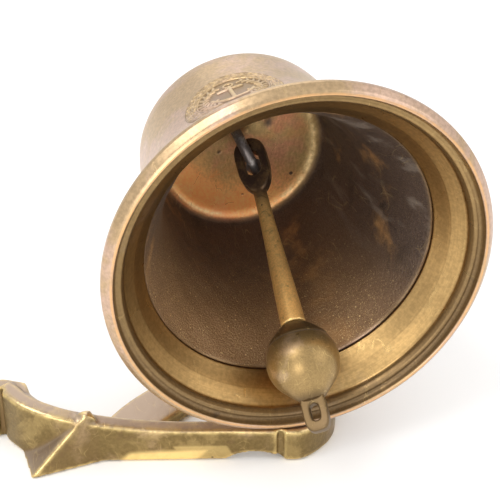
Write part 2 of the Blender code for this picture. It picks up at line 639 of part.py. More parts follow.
def main():
    """Build the whole object."""
    clear_scene()
    parts = make_collection("ship_bell")
    cutters = make_collection("cutters")
    bell_brass = metal("bell_brass", BRASS_OUTSIDE, 0.38)
    clapper_brass = metal("clapper_brass", BRASS_CLAPPER, 0.34)
    bracket_brass = metal("bracket_brass", BRASS_BRACKET, 0.32)
    steel = metal("dark_steel", STEEL_DARK, 0.45)
    pivot = add_empty("bell_pivot", parts, (0.0, mm(PIVOT_Y), mm(AXIS_HEIGHT)))
    make_bell(parts, cutters, pivot, bell_brass)
    make_hanger_plate(parts, cutters, pivot, bell_brass)
    make_staple(parts, pivot, steel)
    make_staple_fasteners(parts, pivot, steel)
    make_bush(parts, pivot, clapper_brass)
    make_clapper(parts, cutters, pivot, clapper_brass)
    casting = make_casting(parts, cutters, bracket_brass)
    cut(casting, make_palm(cutters), "UNION")
    cut(casting, make_wedge(cutters), "UNION")
    make_hanger_arm(parts, cutters, bracket_brass)
    make_foot_screws(parts, casting, cutters, steel)
    drill(casting, cutters, "wall_hole_left", -153.0, MOUTH_Y + 58.0, WALL_HOLE, 90.0)
    make_pin_set(parts, steel, bracket_brass)


main()
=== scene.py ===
"""Looks for a cast brass ship bell that hangs by its crown from a cast wall bracket.

The bell lies as stored: its axis is level, its mouth faces -Y and the bracket's wall
side rests on z = 0.  Every new piece is worked out with numpy as a surface of two
parameters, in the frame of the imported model.
"""

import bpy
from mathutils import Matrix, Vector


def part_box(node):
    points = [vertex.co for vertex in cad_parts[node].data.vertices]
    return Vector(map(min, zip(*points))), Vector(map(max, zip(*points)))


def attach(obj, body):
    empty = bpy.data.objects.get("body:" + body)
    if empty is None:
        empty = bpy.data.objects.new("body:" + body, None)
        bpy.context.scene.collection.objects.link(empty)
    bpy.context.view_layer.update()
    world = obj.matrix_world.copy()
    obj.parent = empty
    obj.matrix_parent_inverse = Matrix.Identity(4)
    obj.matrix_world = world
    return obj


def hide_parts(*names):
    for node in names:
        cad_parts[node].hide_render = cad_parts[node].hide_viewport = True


bl_info = {
    "name": "Ship Bell",
    "version": (1, 0, 0),
    "blender": (4, 5, 0),
    "location": "View3D > Sidebar > Ship Bell",
    "description": "Builds the pieces and finishes of a brass ship bell with its clapper and bracket",
    "category": "Object",
}

import math

import bmesh
import bpy
import numpy as np
from mathutils import Euler, Matrix

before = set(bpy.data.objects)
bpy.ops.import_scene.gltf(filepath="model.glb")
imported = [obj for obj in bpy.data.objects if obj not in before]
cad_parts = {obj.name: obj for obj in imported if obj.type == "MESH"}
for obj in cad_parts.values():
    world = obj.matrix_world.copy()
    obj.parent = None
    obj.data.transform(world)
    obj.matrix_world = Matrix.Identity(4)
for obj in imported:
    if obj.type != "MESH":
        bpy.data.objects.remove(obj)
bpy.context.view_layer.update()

MM = 0.001                                   # the sizes below are in millimetres
TURN = 2 * math.pi
BELL_LOW, BELL_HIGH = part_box("bell_shell")
MOUTH_Y = BELL_LOW.y                         # plane of the foremost rim edge
AXIS_Z = (BELL_LOW.z + BELL_HIGH.z) / 2      # the bell's axis above the wall plane
CROWN_TOP = 148.5                            # outer face of the crown, from the rim plane
CROWN_FLOOR = 137.0                          # floor of the crown, from the rim plane
BAND_START, BAND_END = 0.6, 24.2             # turned brass inside the lip, from the rim plane
STAPLE_TWIST = math.radians(24.0)
STAPLE_SHIFT = 2.5                           # the staple is cast a little off the axis
STAPLE_BOW = 114.0                           # middle of the staple's bow, from the rim plane
STAPLE_HALF = 15.5                           # half the distance between the staple's legs
# dark marks on the crown's floor: across, up from the axis, radius, blur
FLOOR_MARKS = ((31.5, -21.8, 1.15, 0.0), (17.3, 13.4, 2.6, 5.0), (-11.7, -2.3, 0.8, 2.2),
               (-6.0, 17.0, 3.6, 3.0), (2.0, -32.0, 0.5, 1.0))
BALL_DROP = 121.4                            # staple bow to ball centre
BALL_RADIUS = 19.4
# soft lights: name, place and point aimed at in metres, side, power, colour
BELL_MIDDLE = (0.0, -0.1, 0.1)
LIGHTS = (("key_light", (-0.75, -0.35, 1.25), BELL_MIDDLE, 0.8, 7.5, (1.0, 0.99, 0.97)),
          ("fill_light", (1.1, -0.9, 0.9), BELL_MIDDLE, 0.9, 2.6, (1.0, 1.0, 1.0)),
          ("rear_light", (0.1, 1.2, 1.1), BELL_MIDDLE, 1.0, 2.6, (1.0, 1.0, 1.0)),
          ("mouth_light", (-0.62, -1.20, 0.42), (0.0, -0.08, 0.12), 0.5, 3.4, (1.0, 0.98, 0.95)))
SCREW_HEAD, SLOT_DEPTH = 2.6, 1.2            # height of a foot screw's head, depth of its slot
PIN_HEAD, THREAD_DEPTH = 4.6, 0.18           # height of the pin's head, half the depth of its thread
SHAPE_PASSES = 5                             # how far wear and hollows spread over a mesh
CAMERA_PLACE = (-0.15591, -0.68856, 0.47056)
CAMERA_DOWN, CAMERA_TURN = 32.32, -14.13     # degrees below level and round Z
CAMERA_LENS = 93.6                           # focal length for a 36 mm sensor


# ---- settings ---------------------------------------------------------------------
def length(name, description, default, low, high):
    """A length setting, in metres."""
    return bpy.props.FloatProperty(name=name, description=description, default=default,
                                   min=low, max=high, precision=4, unit="LENGTH")


def colour(name, description, red, green, blue):
    """A colour setting."""
    return bpy.props.FloatVectorProperty(name=name, description=description, size=4, min=0.0,
                                         max=1.0, subtype="COLOR", default=(red, green, blue, 1.0))


class ShipBellSizes(bpy.types.PropertyGroup):
    """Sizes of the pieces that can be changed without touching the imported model."""
    medallion_radius: length("Medallion radius", "Outer edge of the cast medallion", 0.0282, 0.01, 0.04)
    relief: length("Relief", "Height of the medallion's relief over the skin", 0.0009, 0.0, 0.002)
    unevenness: length("Unevenness", "Waviness of the cast wall inside the bell", 0.00022, 0.0, 0.001)
    wire_radius: length("Wire radius", "Radius of the staple's wire", 0.0030, 0.001, 0.004)
    thread_pitch: length("Thread pitch", "Pitch of the staple's and the pin's threads", 0.001, 0.0005,
                         0.002)
    casting_grid: length("Casting grid", "Grid size used to soften the wall casting", 0.00078, 0.0005,
                         0.003)
    arm_grid: length("Arm grid", "Grid size used to soften the hanger arm", 0.0007, 0.0005, 0.003)
    stem_grid: length("Stem grid", "Grid size used to blend the clapper's eye and shank", 0.00045,
                      0.0003, 0.002)
    floor_radius: length("Floor radius", "Radius of the pale floor", 6.0, 1.0, 20.0)


class ShipBellColours(bpy.types.PropertyGroup):
    """Colours of the finishes."""
    outside: colour("Outside brass", "Handled brass outside", 0.500, 0.350, 0.200)
    bloom: colour("Pink bloom", "Coppery bloom on old brass", 0.560, 0.390, 0.290)
    # also laid as painted shade in the recess behind the wall casting's ridge
    tarnish: colour("Tarnish", "Brown tarnish in patches and corners", 0.200, 0.125, 0.060)
    machined: colour("Machined brass", "Turned band inside the lip", 0.460, 0.295, 0.120)
    machined_dull: colour("Dull machined brass", "Older patches of the turned band", 0.370, 0.235,
                          0.098)
    edge: colour("Rim edge", "Bright worn edge of the rim", 0.800, 0.460, 0.210)
    inside: colour("Inside brown", "Dark cast wall inside", 0.085, 0.055, 0.041)
    inside_warm: colour("Inside warm brown", "Warmer patches of the inner wall", 0.400, 0.215, 0.085)
    soot: colour("Soot", "Darkest patches", 0.040, 0.029, 0.024)
    fleck: colour("Gold fleck", "Bright grains of the cast wall", 0.900, 0.670, 0.330)
    streak: colour("Pale streak", "Pale streaks down the inner wall", 0.300, 0.250, 0.205)
    heat_orange: colour("Heat orange", "Orange heat tint on the crown's floor", 0.920, 0.270, 0.070)
    heat_rose: colour("Heat rose", "Rose heat tint on the crown's floor", 0.720, 0.330, 0.165)
    heat_olive: colour("Heat olive", "Olive heat tint on the crown's floor", 0.600, 0.390, 0.145)
    groove: colour("Lip groove", "Dull brass in the groove of the lip", 0.170, 0.105, 0.045)
    # painted sheen: the lighter pinkish grey of faces that point up, a painted reflection of the light
    # overhead
    upward: colour("Upward bloom", "Pinkish grey bloom on faces that lie upward", 0.420, 0.320, 0.250)
    clapper: colour("Clapper brass", "Olive brass of the ball", 0.350, 0.232, 0.095)
    clapper_dark: colour("Clapper tarnish", "Brown tarnish of the clapper", 0.150, 0.096, 0.044)
    shank: colour("Shank brass", "Brown brass of the shank", 0.850, 0.500, 0.170)
    bracket: colour("Bracket brass", "Golden brown brass of the bracket", 0.225, 0.155, 0.062)
    gold: colour("Worn gold", "Rubbed bright brass", 1.000, 0.740, 0.310)
    steel: colour("Dark steel", "Dark oiled steel", 0.210, 0.180, 0.168)
    steel_bright: colour("Rubbed steel", "Steel where it rubs", 0.560, 0.520, 0.480)
    rust: colour("Rust", "Brown rust on steel", 0.085, 0.050, 0.036)
    floor: colour("Floor", "Pale floor", 0.970, 0.970, 0.970)


# ---- lines and fields -------------------------------------------------------------
def smooth_line(points, per_span):
    """Line through points: each span is the cubic whose slope at a point is half the step
    from the point before it to the point after it."""
    p = np.asarray(points, float)
    p = np.vstack([2 * p[0] - p[1], p, 2 * p[-1] - p[-2]])
    a, b, c, d = (p[i:len(p) - 3 + i, None] for i in range(4))
    t = (np.arange(per_span) / per_span)[None, :, None]
    body = 0.5 * (2 * b + (c - a) * t + (2 * a - 5 * b + 4 * c - d) * t ** 2
                  + (3 * b - a - 3 * c + d) * t ** 3)
    return np.vstack([body.reshape(-1, p.shape[1]), p[-2]])


def distances(line):
    """Distance walked along a line to each of its points."""
    return np.r_[0.0, np.cumsum(np.linalg.norm(np.diff(line, axis=0), axis=1))]


def walk(line, places):
    """Points of a line at the given distances along it."""
    along = distances(line)
    return np.stack([np.interp(places, along, line[:, k]) for k in range(line.shape[1])], axis=-1)


def soften(line, spread, step):
    """Weighted mean of each evenly spaced point and its neighbours, the weights falling off
    as a bell curve of the given spread, so that sharp corners become small rounds."""
    half = max(1, int(3 * spread / step))
    weight = np.exp(-0.5 * (np.arange(-half, half + 1) * step / spread) ** 2)
    weight /= weight.sum()
    padded = np.vstack([line[:1]] * half + [line] + [line[-1:]] * half)
    return np.stack([np.convolve(padded[:, k], weight, "valid") for k in range(line.shape[1])], axis=-1)


def ramp(low, high, x):
    """0 below low, 1 above high and 3t^2 - 2t^3 between them."""
    t = np.clip((x - low) / (high - low), 0.0, 1.0)
    return t * t * (3 - 2 * t)


def between(low, high, soft, x):
    """1 between low and high with soft ends."""
    return ramp(low - soft, low + soft, x) * (1 - ramp(high - soft, high + soft, x))


def waves(seed, turn, along, longest, shortest, count):
    """Sum of cosine waves that run round and along a turned surface, with seeded directions
    and phases, divided so that it stays near -1 to 1."""
    rng = np.random.default_rng(seed)
    total = np.zeros(np.broadcast(turn, along).shape)
    for _ in range(count):
        size = longest * (shortest / longest) ** rng.random()
        lean = rng.random() * TURN
        rounds = round(400.0 * math.cos(lean) / size)
        total += np.cos(rounds * turn + TURN * math.sin(lean) / size * along + rng.random() * TURN)
    return total / math.sqrt(count)


def bell_place(across, height, up):
    """Points in metres from distances across the bell, from its rim plane and up from its axis."""
    parts = np.broadcast_arrays(across * MM, MOUTH_Y + height * MM, AXIS_Z + up * MM)
    return np.stack(parts, axis=-1)


# ---- meshes -----------------------------------------------------------------------
def skin(grid, loop=False):
    """Points and faces of a grid (rows, columns, 3) whose columns close on themselves.  Rows
    close too when loop is true; otherwise each end is closed by a fan round its middle.
    Faces are turned over when the enclosed volume comes out negative."""
    rows, columns = grid.shape[:2]
    index = np.arange(rows * columns).reshape(rows, columns)
    if loop:
        index = np.vstack([index, index[:1]])
    after = np.roll(index, -1, axis=1)
    quads = np.stack([index[:-1], after[:-1], after[1:], index[1:]], axis=-1).reshape(-1, 4)
    points, fans = grid.reshape(-1, 3), np.zeros((0, 3), int)
    if not loop:
        first, last = rows * columns, rows * columns + 1
        points = np.vstack([points, grid[0].mean(0), grid[-1].mean(0)])
        fans = np.vstack([np.stack([np.full(columns, first), after[0], index[0]], -1),
                          np.stack([np.full(columns, last), index[-1], after[-1]], -1)])
    triangles = np.vstack([quads[:, [0, 1, 2]], quads[:, [0, 2, 3]], fans])
    a, b, c = (points[triangles[:, k]] - points.mean(0) for k in range(3))
    if (np.cross(a, b) * c).sum() < 0:
        quads, fans = quads[:, ::-1], fans[:, ::-1]
    return points, quads.tolist() + fans.tolist()


def mesh_of(name, skins):
    """One smooth-shaded mesh of several closed skins."""
    points, faces = [], []
    for own_points, own_faces in skins:
        shift = sum(map(len, points))
        points.append(own_points)
        faces += [[i + shift for i in face] for face in own_faces]
    mesh = bpy.data.meshes.new(name)
    mesh.from_pydata(np.vstack(points).tolist(), [], faces)
    mesh.shade_smooth()
    return mesh


def add_field(mesh, name, values):
    """A number at every point of a mesh, for its material to read.  A grid gets the mean of
    its first and last rows at its two poles."""
    values = np.asarray(values, float)
    if values.ndim == 2:
        values = np.r_[values.ravel(), values[0].mean(), values[-1].mean()]
    mesh.attributes.new(name, "FLOAT", "POINT").data.foreach_set("value", values.astype(np.float32))


def new_object(name, data):
    """An object of the given mesh, lamp or camera, linked to the scene."""
    made = bpy.data.objects.new(name, data)
    bpy.context.scene.collection.objects.link(made)
    return made


def add_piece(mesh, body, slot, material, *nodes):
    """Link a finished mesh, let it ride on its body and stand for its nodes."""
    piece = new_object(mesh.name, mesh)
    mesh.materials.clear()
    mesh.materials.append(material)
    if nodes:
        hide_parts(*nodes)
    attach(piece, body)
    return piece


def fuse(mesh, grid, passes):
    """Melt overlapping closed skins into one with an even grid and soften its edges."""
    name = mesh.name
    carrier = new_object(name + "_raw", mesh)
    melt = carrier.modifiers.new("Melt", "REMESH")
    melt.mode = "VOXEL"
    melt.voxel_size = grid
    ease = carrier.modifiers.new("Ease", "SMOOTH")
    ease.factor = 0.5
    ease.iterations = passes
    graph = bpy.context.evaluated_depsgraph_get()
    result = bpy.data.meshes.new_from_object(carrier.evaluated_get(graph))
    bpy.data.objects.remove(carrier, do_unlink=True)
    mesh.name = name + "_raw"
    result.name = name
    result.shade_smooth()
    return result


def welded_copy(node, name):
    """Copy of a node's mesh with its loose triangles joined."""
    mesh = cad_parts[node].data.copy()
    mesh.name = name
    work = bmesh.new()
    work.from_mesh(mesh)
    bmesh.ops.remove_doubles(work, verts=work.verts, dist=0.002 * MM)
    work.to_mesh(mesh)
    work.free()
    return mesh


def mark_shape(mesh, painted_shade=0.0):
    """Fields for wear, hollows and faces that point up: how far a point stands out of or sinks
    below the mean of its neighbours along its normal, spread over its neighbours, and how much
    it faces up, which the castings use for a painted sheen. Where the given painted shade is
    higher than the sinking, the hollows field takes its value and carries painted shade."""
    count, joints = len(mesh.vertices), len(mesh.edges)
    place, normal = np.zeros(count * 3), np.zeros(count * 3, np.float32)
    ends = np.zeros(joints * 2, np.int32)
    mesh.vertices.foreach_get("co", place)
    mesh.vertex_normals.foreach_get("vector", normal)
    mesh.edges.foreach_get("vertices", ends)
    place, normal, ends = place.reshape(-1, 3), normal.reshape(-1, 3), ends.reshape(-1, 2)
    both = np.r_[ends[:, 0], ends[:, 1]]
    other = np.r_[ends[:, 1], ends[:, 0]]
    share = np.maximum(np.bincount(both, minlength=count), 1)

    def neighbours(values):
        return np.bincount(both, weights=values[other], minlength=count) / share

    mean = np.stack([neighbours(place[:, k]) for k in range(3)], axis=-1)
    step = np.linalg.norm(place[ends[:, 0]] - place[ends[:, 1]], axis=1).mean()
    stand = ((place - mean) * normal).sum(1) / step
    for _ in range(SHAPE_PASSES):
        stand = 0.4 * stand + 0.6 * neighbours(stand)
    add_field(mesh, "wear", ramp(0.012, 0.075, stand))
    add_field(mesh, "hollow", np.maximum(ramp(0.012, 0.070, -stand), painted_shade))
    add_field(mesh, "upward", ramp(0.30, 0.92, normal[:, 2]))


def turned(profile, step, columns, spread=0.12):
    """Grid of a turned shape about Z, in millimetres: the profile of (radius, height), its
    corners rounded, is carried round the axis."""
    line = np.asarray(profile, float)
    fine = 0.05
    line = soften(walk(line, np.arange(0.0, distances(line)[-1], fine)), spread, fine)
    total = distances(line)[-1]
    radius, height = walk(line, np.linspace(0.3, total - 0.3, max(8, round(total / step)))).T
    turn = np.arange(columns) * TURN / columns
    return np.stack([radius[:, None] * np.cos(turn), radius[:, None] * np.sin(turn),
                     np.repeat(height[:, None], columns, axis=1)], axis=-1)


# ---- node boards ------------------------------------------------------------------
class Board:
    """Adds nodes to one tree.  A socket given as a value is linked, anything else is set."""

    def __init__(self, tree):
        self.tree = tree

    def put(self, socket, value):
        if isinstance(value, bpy.types.NodeSocket):
            self.tree.links.new(value, socket)
        else:
            socket.default_value = value

    def node(self, kind, values=None, **settings):
        made = self.tree.nodes.new("ShaderNode" + kind)
        for key, value in settings.items():
            setattr(made, key, value)
        for key, value in (values or {}).items():
            self.put(made.inputs[key], value)
        return made

    def noise(self, vector, scale, detail=4.0, roughness=0.55, distortion=0.0):
        return self.node("TexNoise", {"Vector": vector, "Scale": scale, "Detail": detail,
                                      "Roughness": roughness, "Distortion": distortion}).outputs["Fac"]

    def cells(self, vector, scale):
        return self.node("TexVoronoi", {"Vector": vector, "Scale": scale})

    def maths(self, operation, a, b=0.0):
        return self.node("Math", {0: a, 1: b}, operation=operation).outputs[0]

    def remap(self, value, low, high, to_low=0.0, to_high=1.0):
        return self.node("MapRange", {"Value": value, "From Min": low, "From Max": high,
                                      "To Min": to_low, "To Max": to_high},
                         interpolation_type="SMOOTHSTEP").outputs["Result"]

    def clouds(self, vector, scale, low, high, to_low=0.0, to_high=1.0, **shape):
        """Noise stretched from low..high to to_low..to_high."""
        return self.remap(self.noise(vector, scale, **shape), low, high, to_low, to_high)

    def mix(self, amount, a, b, blend="MIX"):
        return self.node("Mix", {0: amount, 6: a, 7: b}, data_type="RGBA", blend_type=blend).outputs[2]

    def times(self, a, b):
        return self.maths("MULTIPLY", a, b)

    def shade(self, tone, factor):
        """Tone multiplied by a factor or by another tone."""
        return self.mix(1.0, tone, factor, "MULTIPLY")

    def paint(self, tone, over, mask, share):
        """Tone with another laid over it where the mask is high, at the given share."""
        return self.mix(self.times(mask, share), tone, over)

    def stretch(self, vector, scale, rotation=(0.0, 0.0, 0.0), location=(0.0, 0.0, 0.0)):
        return self.node("Mapping", {"Vector": vector, "Scale": scale, "Rotation": rotation,
                                     "Location": location}).outputs["Vector"]

    def field(self, name):
        return self.node("Attribute", attribute_name=name).outputs["Fac"]

    def group(self, name, values):
        made = self.tree.nodes.new("ShaderNodeGroup")
        made.node_tree = bpy.data.node_groups[name]
        for key, value in values.items():
            self.put(made.inputs[key], value)
        return made.outputs

    def effect(self, name, place, size, **more):
        """A shared effect of the given size in metres."""
        return self.group(name, {"Place": place, "Size": size, **more})

    def scaled(self, value, share, start):
        """A start plus a share of a value."""
        return self.node("Math", {0: value, 1: share, 2: start}, operation="MULTIPLY_ADD").outputs[0]

    def total(self, *terms):
        """Sum of (value, share) terms."""
        result = 0.0
        for value, share in terms:
            result = self.scaled(value, share, result)
        return result


def new_group(name, inputs, outputs):
    """An empty shader node group: its board, its inputs by name, and a call that ends it."""
    tree = bpy.data.node_groups.new(name, "ShaderNodeTree")
    for label, kind, default in inputs:
        socket = tree.interface.new_socket(label, in_out="INPUT", socket_type="NodeSocket" + kind)
        if default is not None:
            socket.default_value = default
    for label, kind in outputs:
        tree.interface.new_socket(label, in_out="OUTPUT", socket_type="NodeSocket" + kind)
    board = Board(tree)
    end = tree.nodes.new("NodeGroupOutput")

    def close(**values):
        for label, value in values.items():
            board.put(end.inputs[label], value)

    return board, tree.nodes.new("NodeGroupInput").outputs, close


def make_groups():
    """The effects that several finishes share.  Sizes are in metres."""
    board, given, close = new_group("Mottled Patina", [
        ("Place", "Vector", None), ("Clean", "Color", None), ("Bloom", "Color", None),
        ("Tarnish", "Color", None), ("Patch", "Float", 0.03), ("Bloom Share", "Float", 0.5),
        ("Tarnish Share", "Float", 0.4)], [("Colour", "Color"), ("Dullness", "Float")])
    scale = board.maths("DIVIDE", 1.0, given["Patch"])
    large = board.noise(given["Place"], scale, 5.0, 0.6, 0.4)
    middle = board.noise(given["Place"], board.times(scale, 3.7), 6.0, 0.62, 0.6)
    fine = board.noise(given["Place"], board.times(scale, 24.0), 4.0, 0.6)
    low = board.scaled(given["Bloom Share"], -0.5, 0.72)
    bloom = board.remap(large, low, board.maths("ADD", low, 0.16))
    low = board.scaled(given["Tarnish Share"], -0.45, 0.74)
    dark = board.remap(middle, low, board.maths("ADD", low, 0.2))
    shade = board.paint(board.mix(bloom, given["Clean"], given["Bloom"]), given["Tarnish"], dark, 0.75)
    grain = board.remap(fine, 0.3, 0.7, 0.86, 1.13)
    close(Colour=board.shade(shade, grain),
          Dullness=board.total((dark, 0.5), (fine, 0.5)))

    board, given, close = new_group("Fine Scratches",
                                    [("Place", "Vector", None), ("Size", "Float", 0.02)],
                                    [("Mask", "Float")])
    scale = board.maths("DIVIDE", 1.0, given["Size"])
    hairs = 0.0
    for lean, slide in ((0.4, 0.0), (1.3, 3.1), (2.4, 7.7)):
        run = board.stretch(given["Place"], (1.0, 0.16, 0.5), (lean, lean * 0.7, lean),
                            (slide, slide, 0.0))
        line = board.maths("ABSOLUTE", board.maths("SUBTRACT", board.noise(run, scale, 1.5, 0.4), 0.5))
        hairs = board.maths("MAXIMUM", board.remap(line, 0.0, 0.006, 1.0, 0.0), hairs)
    patchy = board.clouds(given["Place"], board.times(scale, 1.6), 0.47, 0.6, detail=3.0)
    close(Mask=board.times(hairs, patchy))

    board, given, close = new_group("Casting Grain",
                                    [("Place", "Vector", None), ("Size", "Float", 0.002)],
                                    [("Height", "Float"), ("Fleck", "Float")])
    scale = board.maths("DIVIDE", 1.0, given["Size"])
    pebbles = board.node("TexVoronoi", {"Vector": given["Place"], "Scale": scale, "Smoothness": 0.6},
                         feature="SMOOTH_F1").outputs["Distance"]
    fine = board.noise(given["Place"], board.times(scale, 1.3), 5.0, 0.62)
    crumbs = board.noise(given["Place"], board.times(scale, 2.2), 3.0, 0.7)
    close(Height=board.total((pebbles, -0.6), (fine, 1.0)), Fleck=board.remap(crumbs, 0.58, 0.66))

    board, given, close = new_group("Pits", [("Place", "Vector", None), ("Size", "Float", 0.004),
                                             ("Share", "Float", 0.3)], [("Mask", "Float")])
    cells = board.cells(given["Place"], board.maths("DIVIDE", 1.0, given["Size"]))
    chosen = board.maths("LESS_THAN", cells.outputs["Color"], given["Share"])
    close(Mask=board.times(board.remap(cells.outputs["Distance"], 0.10, 0.20, 1.0, 0.0), chosen))

    board, given, close = new_group("Turning Lines",
                                    [("Along", "Float", 0.0), ("Place", "Vector", None)],
                                    [("Height", "Float"), ("Band", "Float")])
    drift = board.times(board.noise(given["Place"], 14.0, 2.0), 0.5)
    row = board.node("CombineXYZ", {"X": given["Along"], "Y": drift}).outputs["Vector"]
    close(Height=board.noise(row, 2.6, 5.0, 0.75), Band=board.noise(row, 0.9, 4.0, 0.6))


def new_material(name, metallic=1.0):
    """A material with its board, shader and Object coordinates."""
    material = bpy.data.materials.new(name)
    material.use_nodes = True
    board = Board(material.node_tree)
    shader = material.node_tree.nodes["Principled BSDF"]
    shader.inputs["Metallic"].default_value = metallic
    return material, board, shader, board.node("TexCoord").outputs["Object"]


def finish_shader(board, shader, colour_value, roughness, height, depth):
    """Colour, roughness and a bump of the given depth in metres."""
    board.put(shader.inputs["Base Color"], colour_value)
    board.put(shader.inputs["Roughness"], roughness)
    bump = board.node("Bump", {"Strength": 1.0, "Distance": depth, "Height": height})
    board.put(shader.inputs["Normal"], bump.outputs["Normal"])


def patina(board, place, clean, bloom, tarnish, patch, bloom_share, tarnish_share):
    """The mottled patina with its values."""
    return board.group("Mottled Patina", {
        "Place": place, "Clean": clean, "Bloom": bloom, "Tarnish": tarnish, "Patch": patch,
        "Bloom Share": bloom_share, "Tarnish Share": tarnish_share})


# ---- finishes ---------------------------------------------------------------------
def band_tone(board, place, c, lines):
    """Turned brass inside the lip: streaked by its turning lines, with painted shade on its upper
    side, where it reflects the floor in the bell's shadow.
    """
    golden = patina(board, place, c.machined, c.outside, c.machined_dull, patch=0.05, bloom_share=0.35,
                    tarnish_share=0.32)
    streaked = board.shade(golden["Colour"], board.remap(lines["Band"], 0.3, 0.7, 0.90, 1.07))
    # painted shade: the band's upper side is darkened to two thirds
    shade = board.remap(board.field("upper_side"), 0.0, 1.0, 1.0, 0.66)
    return board.shade(streaked, shade)


def wall_tone(board, place, c):
    """Brown cast wall: pale streaks on one side, warm and with bright grains on the low side."""
    grain = board.effect("Casting Grain", place, 0.0011)
    wall = patina(board, place, c.inside, c.inside_warm, c.soot, patch=0.055, bloom_share=0.36,
                  tarnish_share=0.50)
    drawn = board.stretch(place, (1.0, 0.09, 1.0), (0.15, 0.0, 0.1))
    pale = board.clouds(drawn, 95.0, 0.52, 0.70, detail=3.0, roughness=0.6)
    pale = board.times(pale, board.field("streak_side"))
    brown = board.paint(wall["Colour"], c.streak, pale, 0.50)
    low_side = board.field("low_side")
    flecks = board.times(grain["Fleck"], board.remap(low_side, 0.0, 1.0, 0.14, 1.0))
    dots = board.effect("Pits", place, 0.0026, Share=0.32)["Mask"]
    flecks = board.maths("MAXIMUM", flecks, board.times(dots, low_side))
    brown = board.paint(brown, c.inside_warm, low_side, 0.58)
    brown = board.mix(flecks, brown, c.fleck)
    return brown, grain["Height"], flecks


def floor_tone(board, place, c):
    """Heat-tinted floor of the crown with its golden ring and dark marks, and painted light:
    brighter and more orange on the side where light falls in through the mouth, darker on the
    far side.
    """
    tints = patina(board, place, c.heat_olive, c.heat_rose, c.inside_warm, patch=0.034, bloom_share=0.48,
                   tarnish_share=0.24)
    orange = board.clouds(place, 34.0, 0.46, 0.64, detail=6.0, roughness=0.60, distortion=0.8)
    # heat tint and painted light: the orange is laid mostly on the side where light falls in through the
    # mouth
    warm = board.field("warm_side")
    orange = board.times(orange, board.remap(warm, 0.0, 0.5, 0.25, 1.0))
    patchy = board.clouds(place, 85.0, 0.36, 0.60, 0.60, 1.0, detail=5.0, roughness=0.6, distortion=0.5)
    orange = board.maths("MAXIMUM", orange, board.times(warm, patchy))
    tint = board.paint(tints["Colour"], c.heat_orange, orange, 0.9)
    # painted light: up to half again brighter on that side, about a third darker on the far side
    tint = board.shade(tint, board.remap(warm, 0.0, 0.8, 0.68, 1.50))
    mottled = board.clouds(place, 170.0, 0.38, 0.62, 0.10, 0.90, detail=5.0, roughness=0.65)
    ring = board.times(board.field("floor_ring"), mottled)
    tint = board.mix(ring, tint, c.fleck)
    crumbs = board.clouds(place, 700.0, 0.35, 0.65, 0.90, 1.10, detail=3.0)
    tint = board.shade(tint, crumbs)
    cloud = board.noise(place, 210.0, 4.0, 0.6)
    spots = 0.0
    for x, z, reach, blur in FLOOR_MARKS:
        spot = (x * MM, MOUTH_Y + CROWN_FLOOR * MM, AXIS_Z + z * MM)
        away = board.node("VectorMath", {0: place, 1: spot}, operation="DISTANCE").outputs["Value"]
        away = board.total((cloud, blur * MM), (away, 1.0))
        mark = board.remap(away, (reach - 0.25) * MM, (reach + 0.2 + blur) * MM, 1.0, 0.0)
        spots = board.maths("MAXIMUM", mark, spots)
    tint = board.paint(tint, c.soot, spots, 0.85)
    return tint, spots


def bell_finish(c):
    """One finish for the whole bell, changing from zone to zone by the fields of its skin."""
    material, board, shader, place = new_material("bell_skin_brass")
    inside, floor, band = board.field("inside"), board.field("crown_floor"), board.field("turned_band")
    groove, edge, line = board.field("lip_groove"), board.field("rim_edge"), board.field("dark_line")
    outer = patina(board, place, c.outside, c.bloom, c.tarnish, patch=0.045, bloom_share=0.55,
                   tarnish_share=0.22)
    tone = outer["Colour"]
    lines = board.group("Turning Lines", {"Along": board.field("along"), "Place": place})
    tone = board.mix(band, tone, band_tone(board, place, c, lines))
    deep = patina(board, place, c.groove, c.machined_dull, c.soot, patch=0.03, bloom_share=0.25,
                  tarnish_share=0.40)
    tone = board.mix(groove, tone, deep["Colour"])
    brown, grain, flecks = wall_tone(board, place, c)
    tone = board.mix(inside, tone, brown)
    tint, spots = floor_tone(board, place, c)
    tone = board.mix(floor, tone, tint)
    tone = board.paint(tone, c.soot, line, 0.75)
    worn = board.noise(place, 140.0, 4.0)
    tone = board.mix(board.times(edge, board.remap(worn, 0.3, 0.6, 0.35, 0.85)), tone, c.edge)
    hairs = board.effect("Fine Scratches", place, 0.016)["Mask"]
    tone = board.paint(tone, c.gold, hairs, 0.10)
    rough = board.total((outer["Dullness"], 0.16), (inside, 0.16), (floor, -0.02), (hairs, -0.08),
                        (1.0, 0.30))
    smooth_zone = board.maths("SUBTRACT", 1.0, inside)
    small = board.noise(place, 420.0, 4.0)
    height = board.total((board.times(grain, inside), 1.0),
                         (board.times(lines["Height"], band), 0.09),
                         (board.times(small, smooth_zone), 0.10),
                         (hairs, -0.05), (board.times(spots, floor), -0.7))
    coated = board.times(inside, board.maths("SUBTRACT", 1.0, flecks))
    board.put(shader.inputs["Metallic"], board.total((coated, -0.62), (floor, -0.50), (groove, -0.40),
                                                     (1.0, 1.0)))
    finish_shader(board, shader, tone, rough, height, 0.32 * MM)
    return material


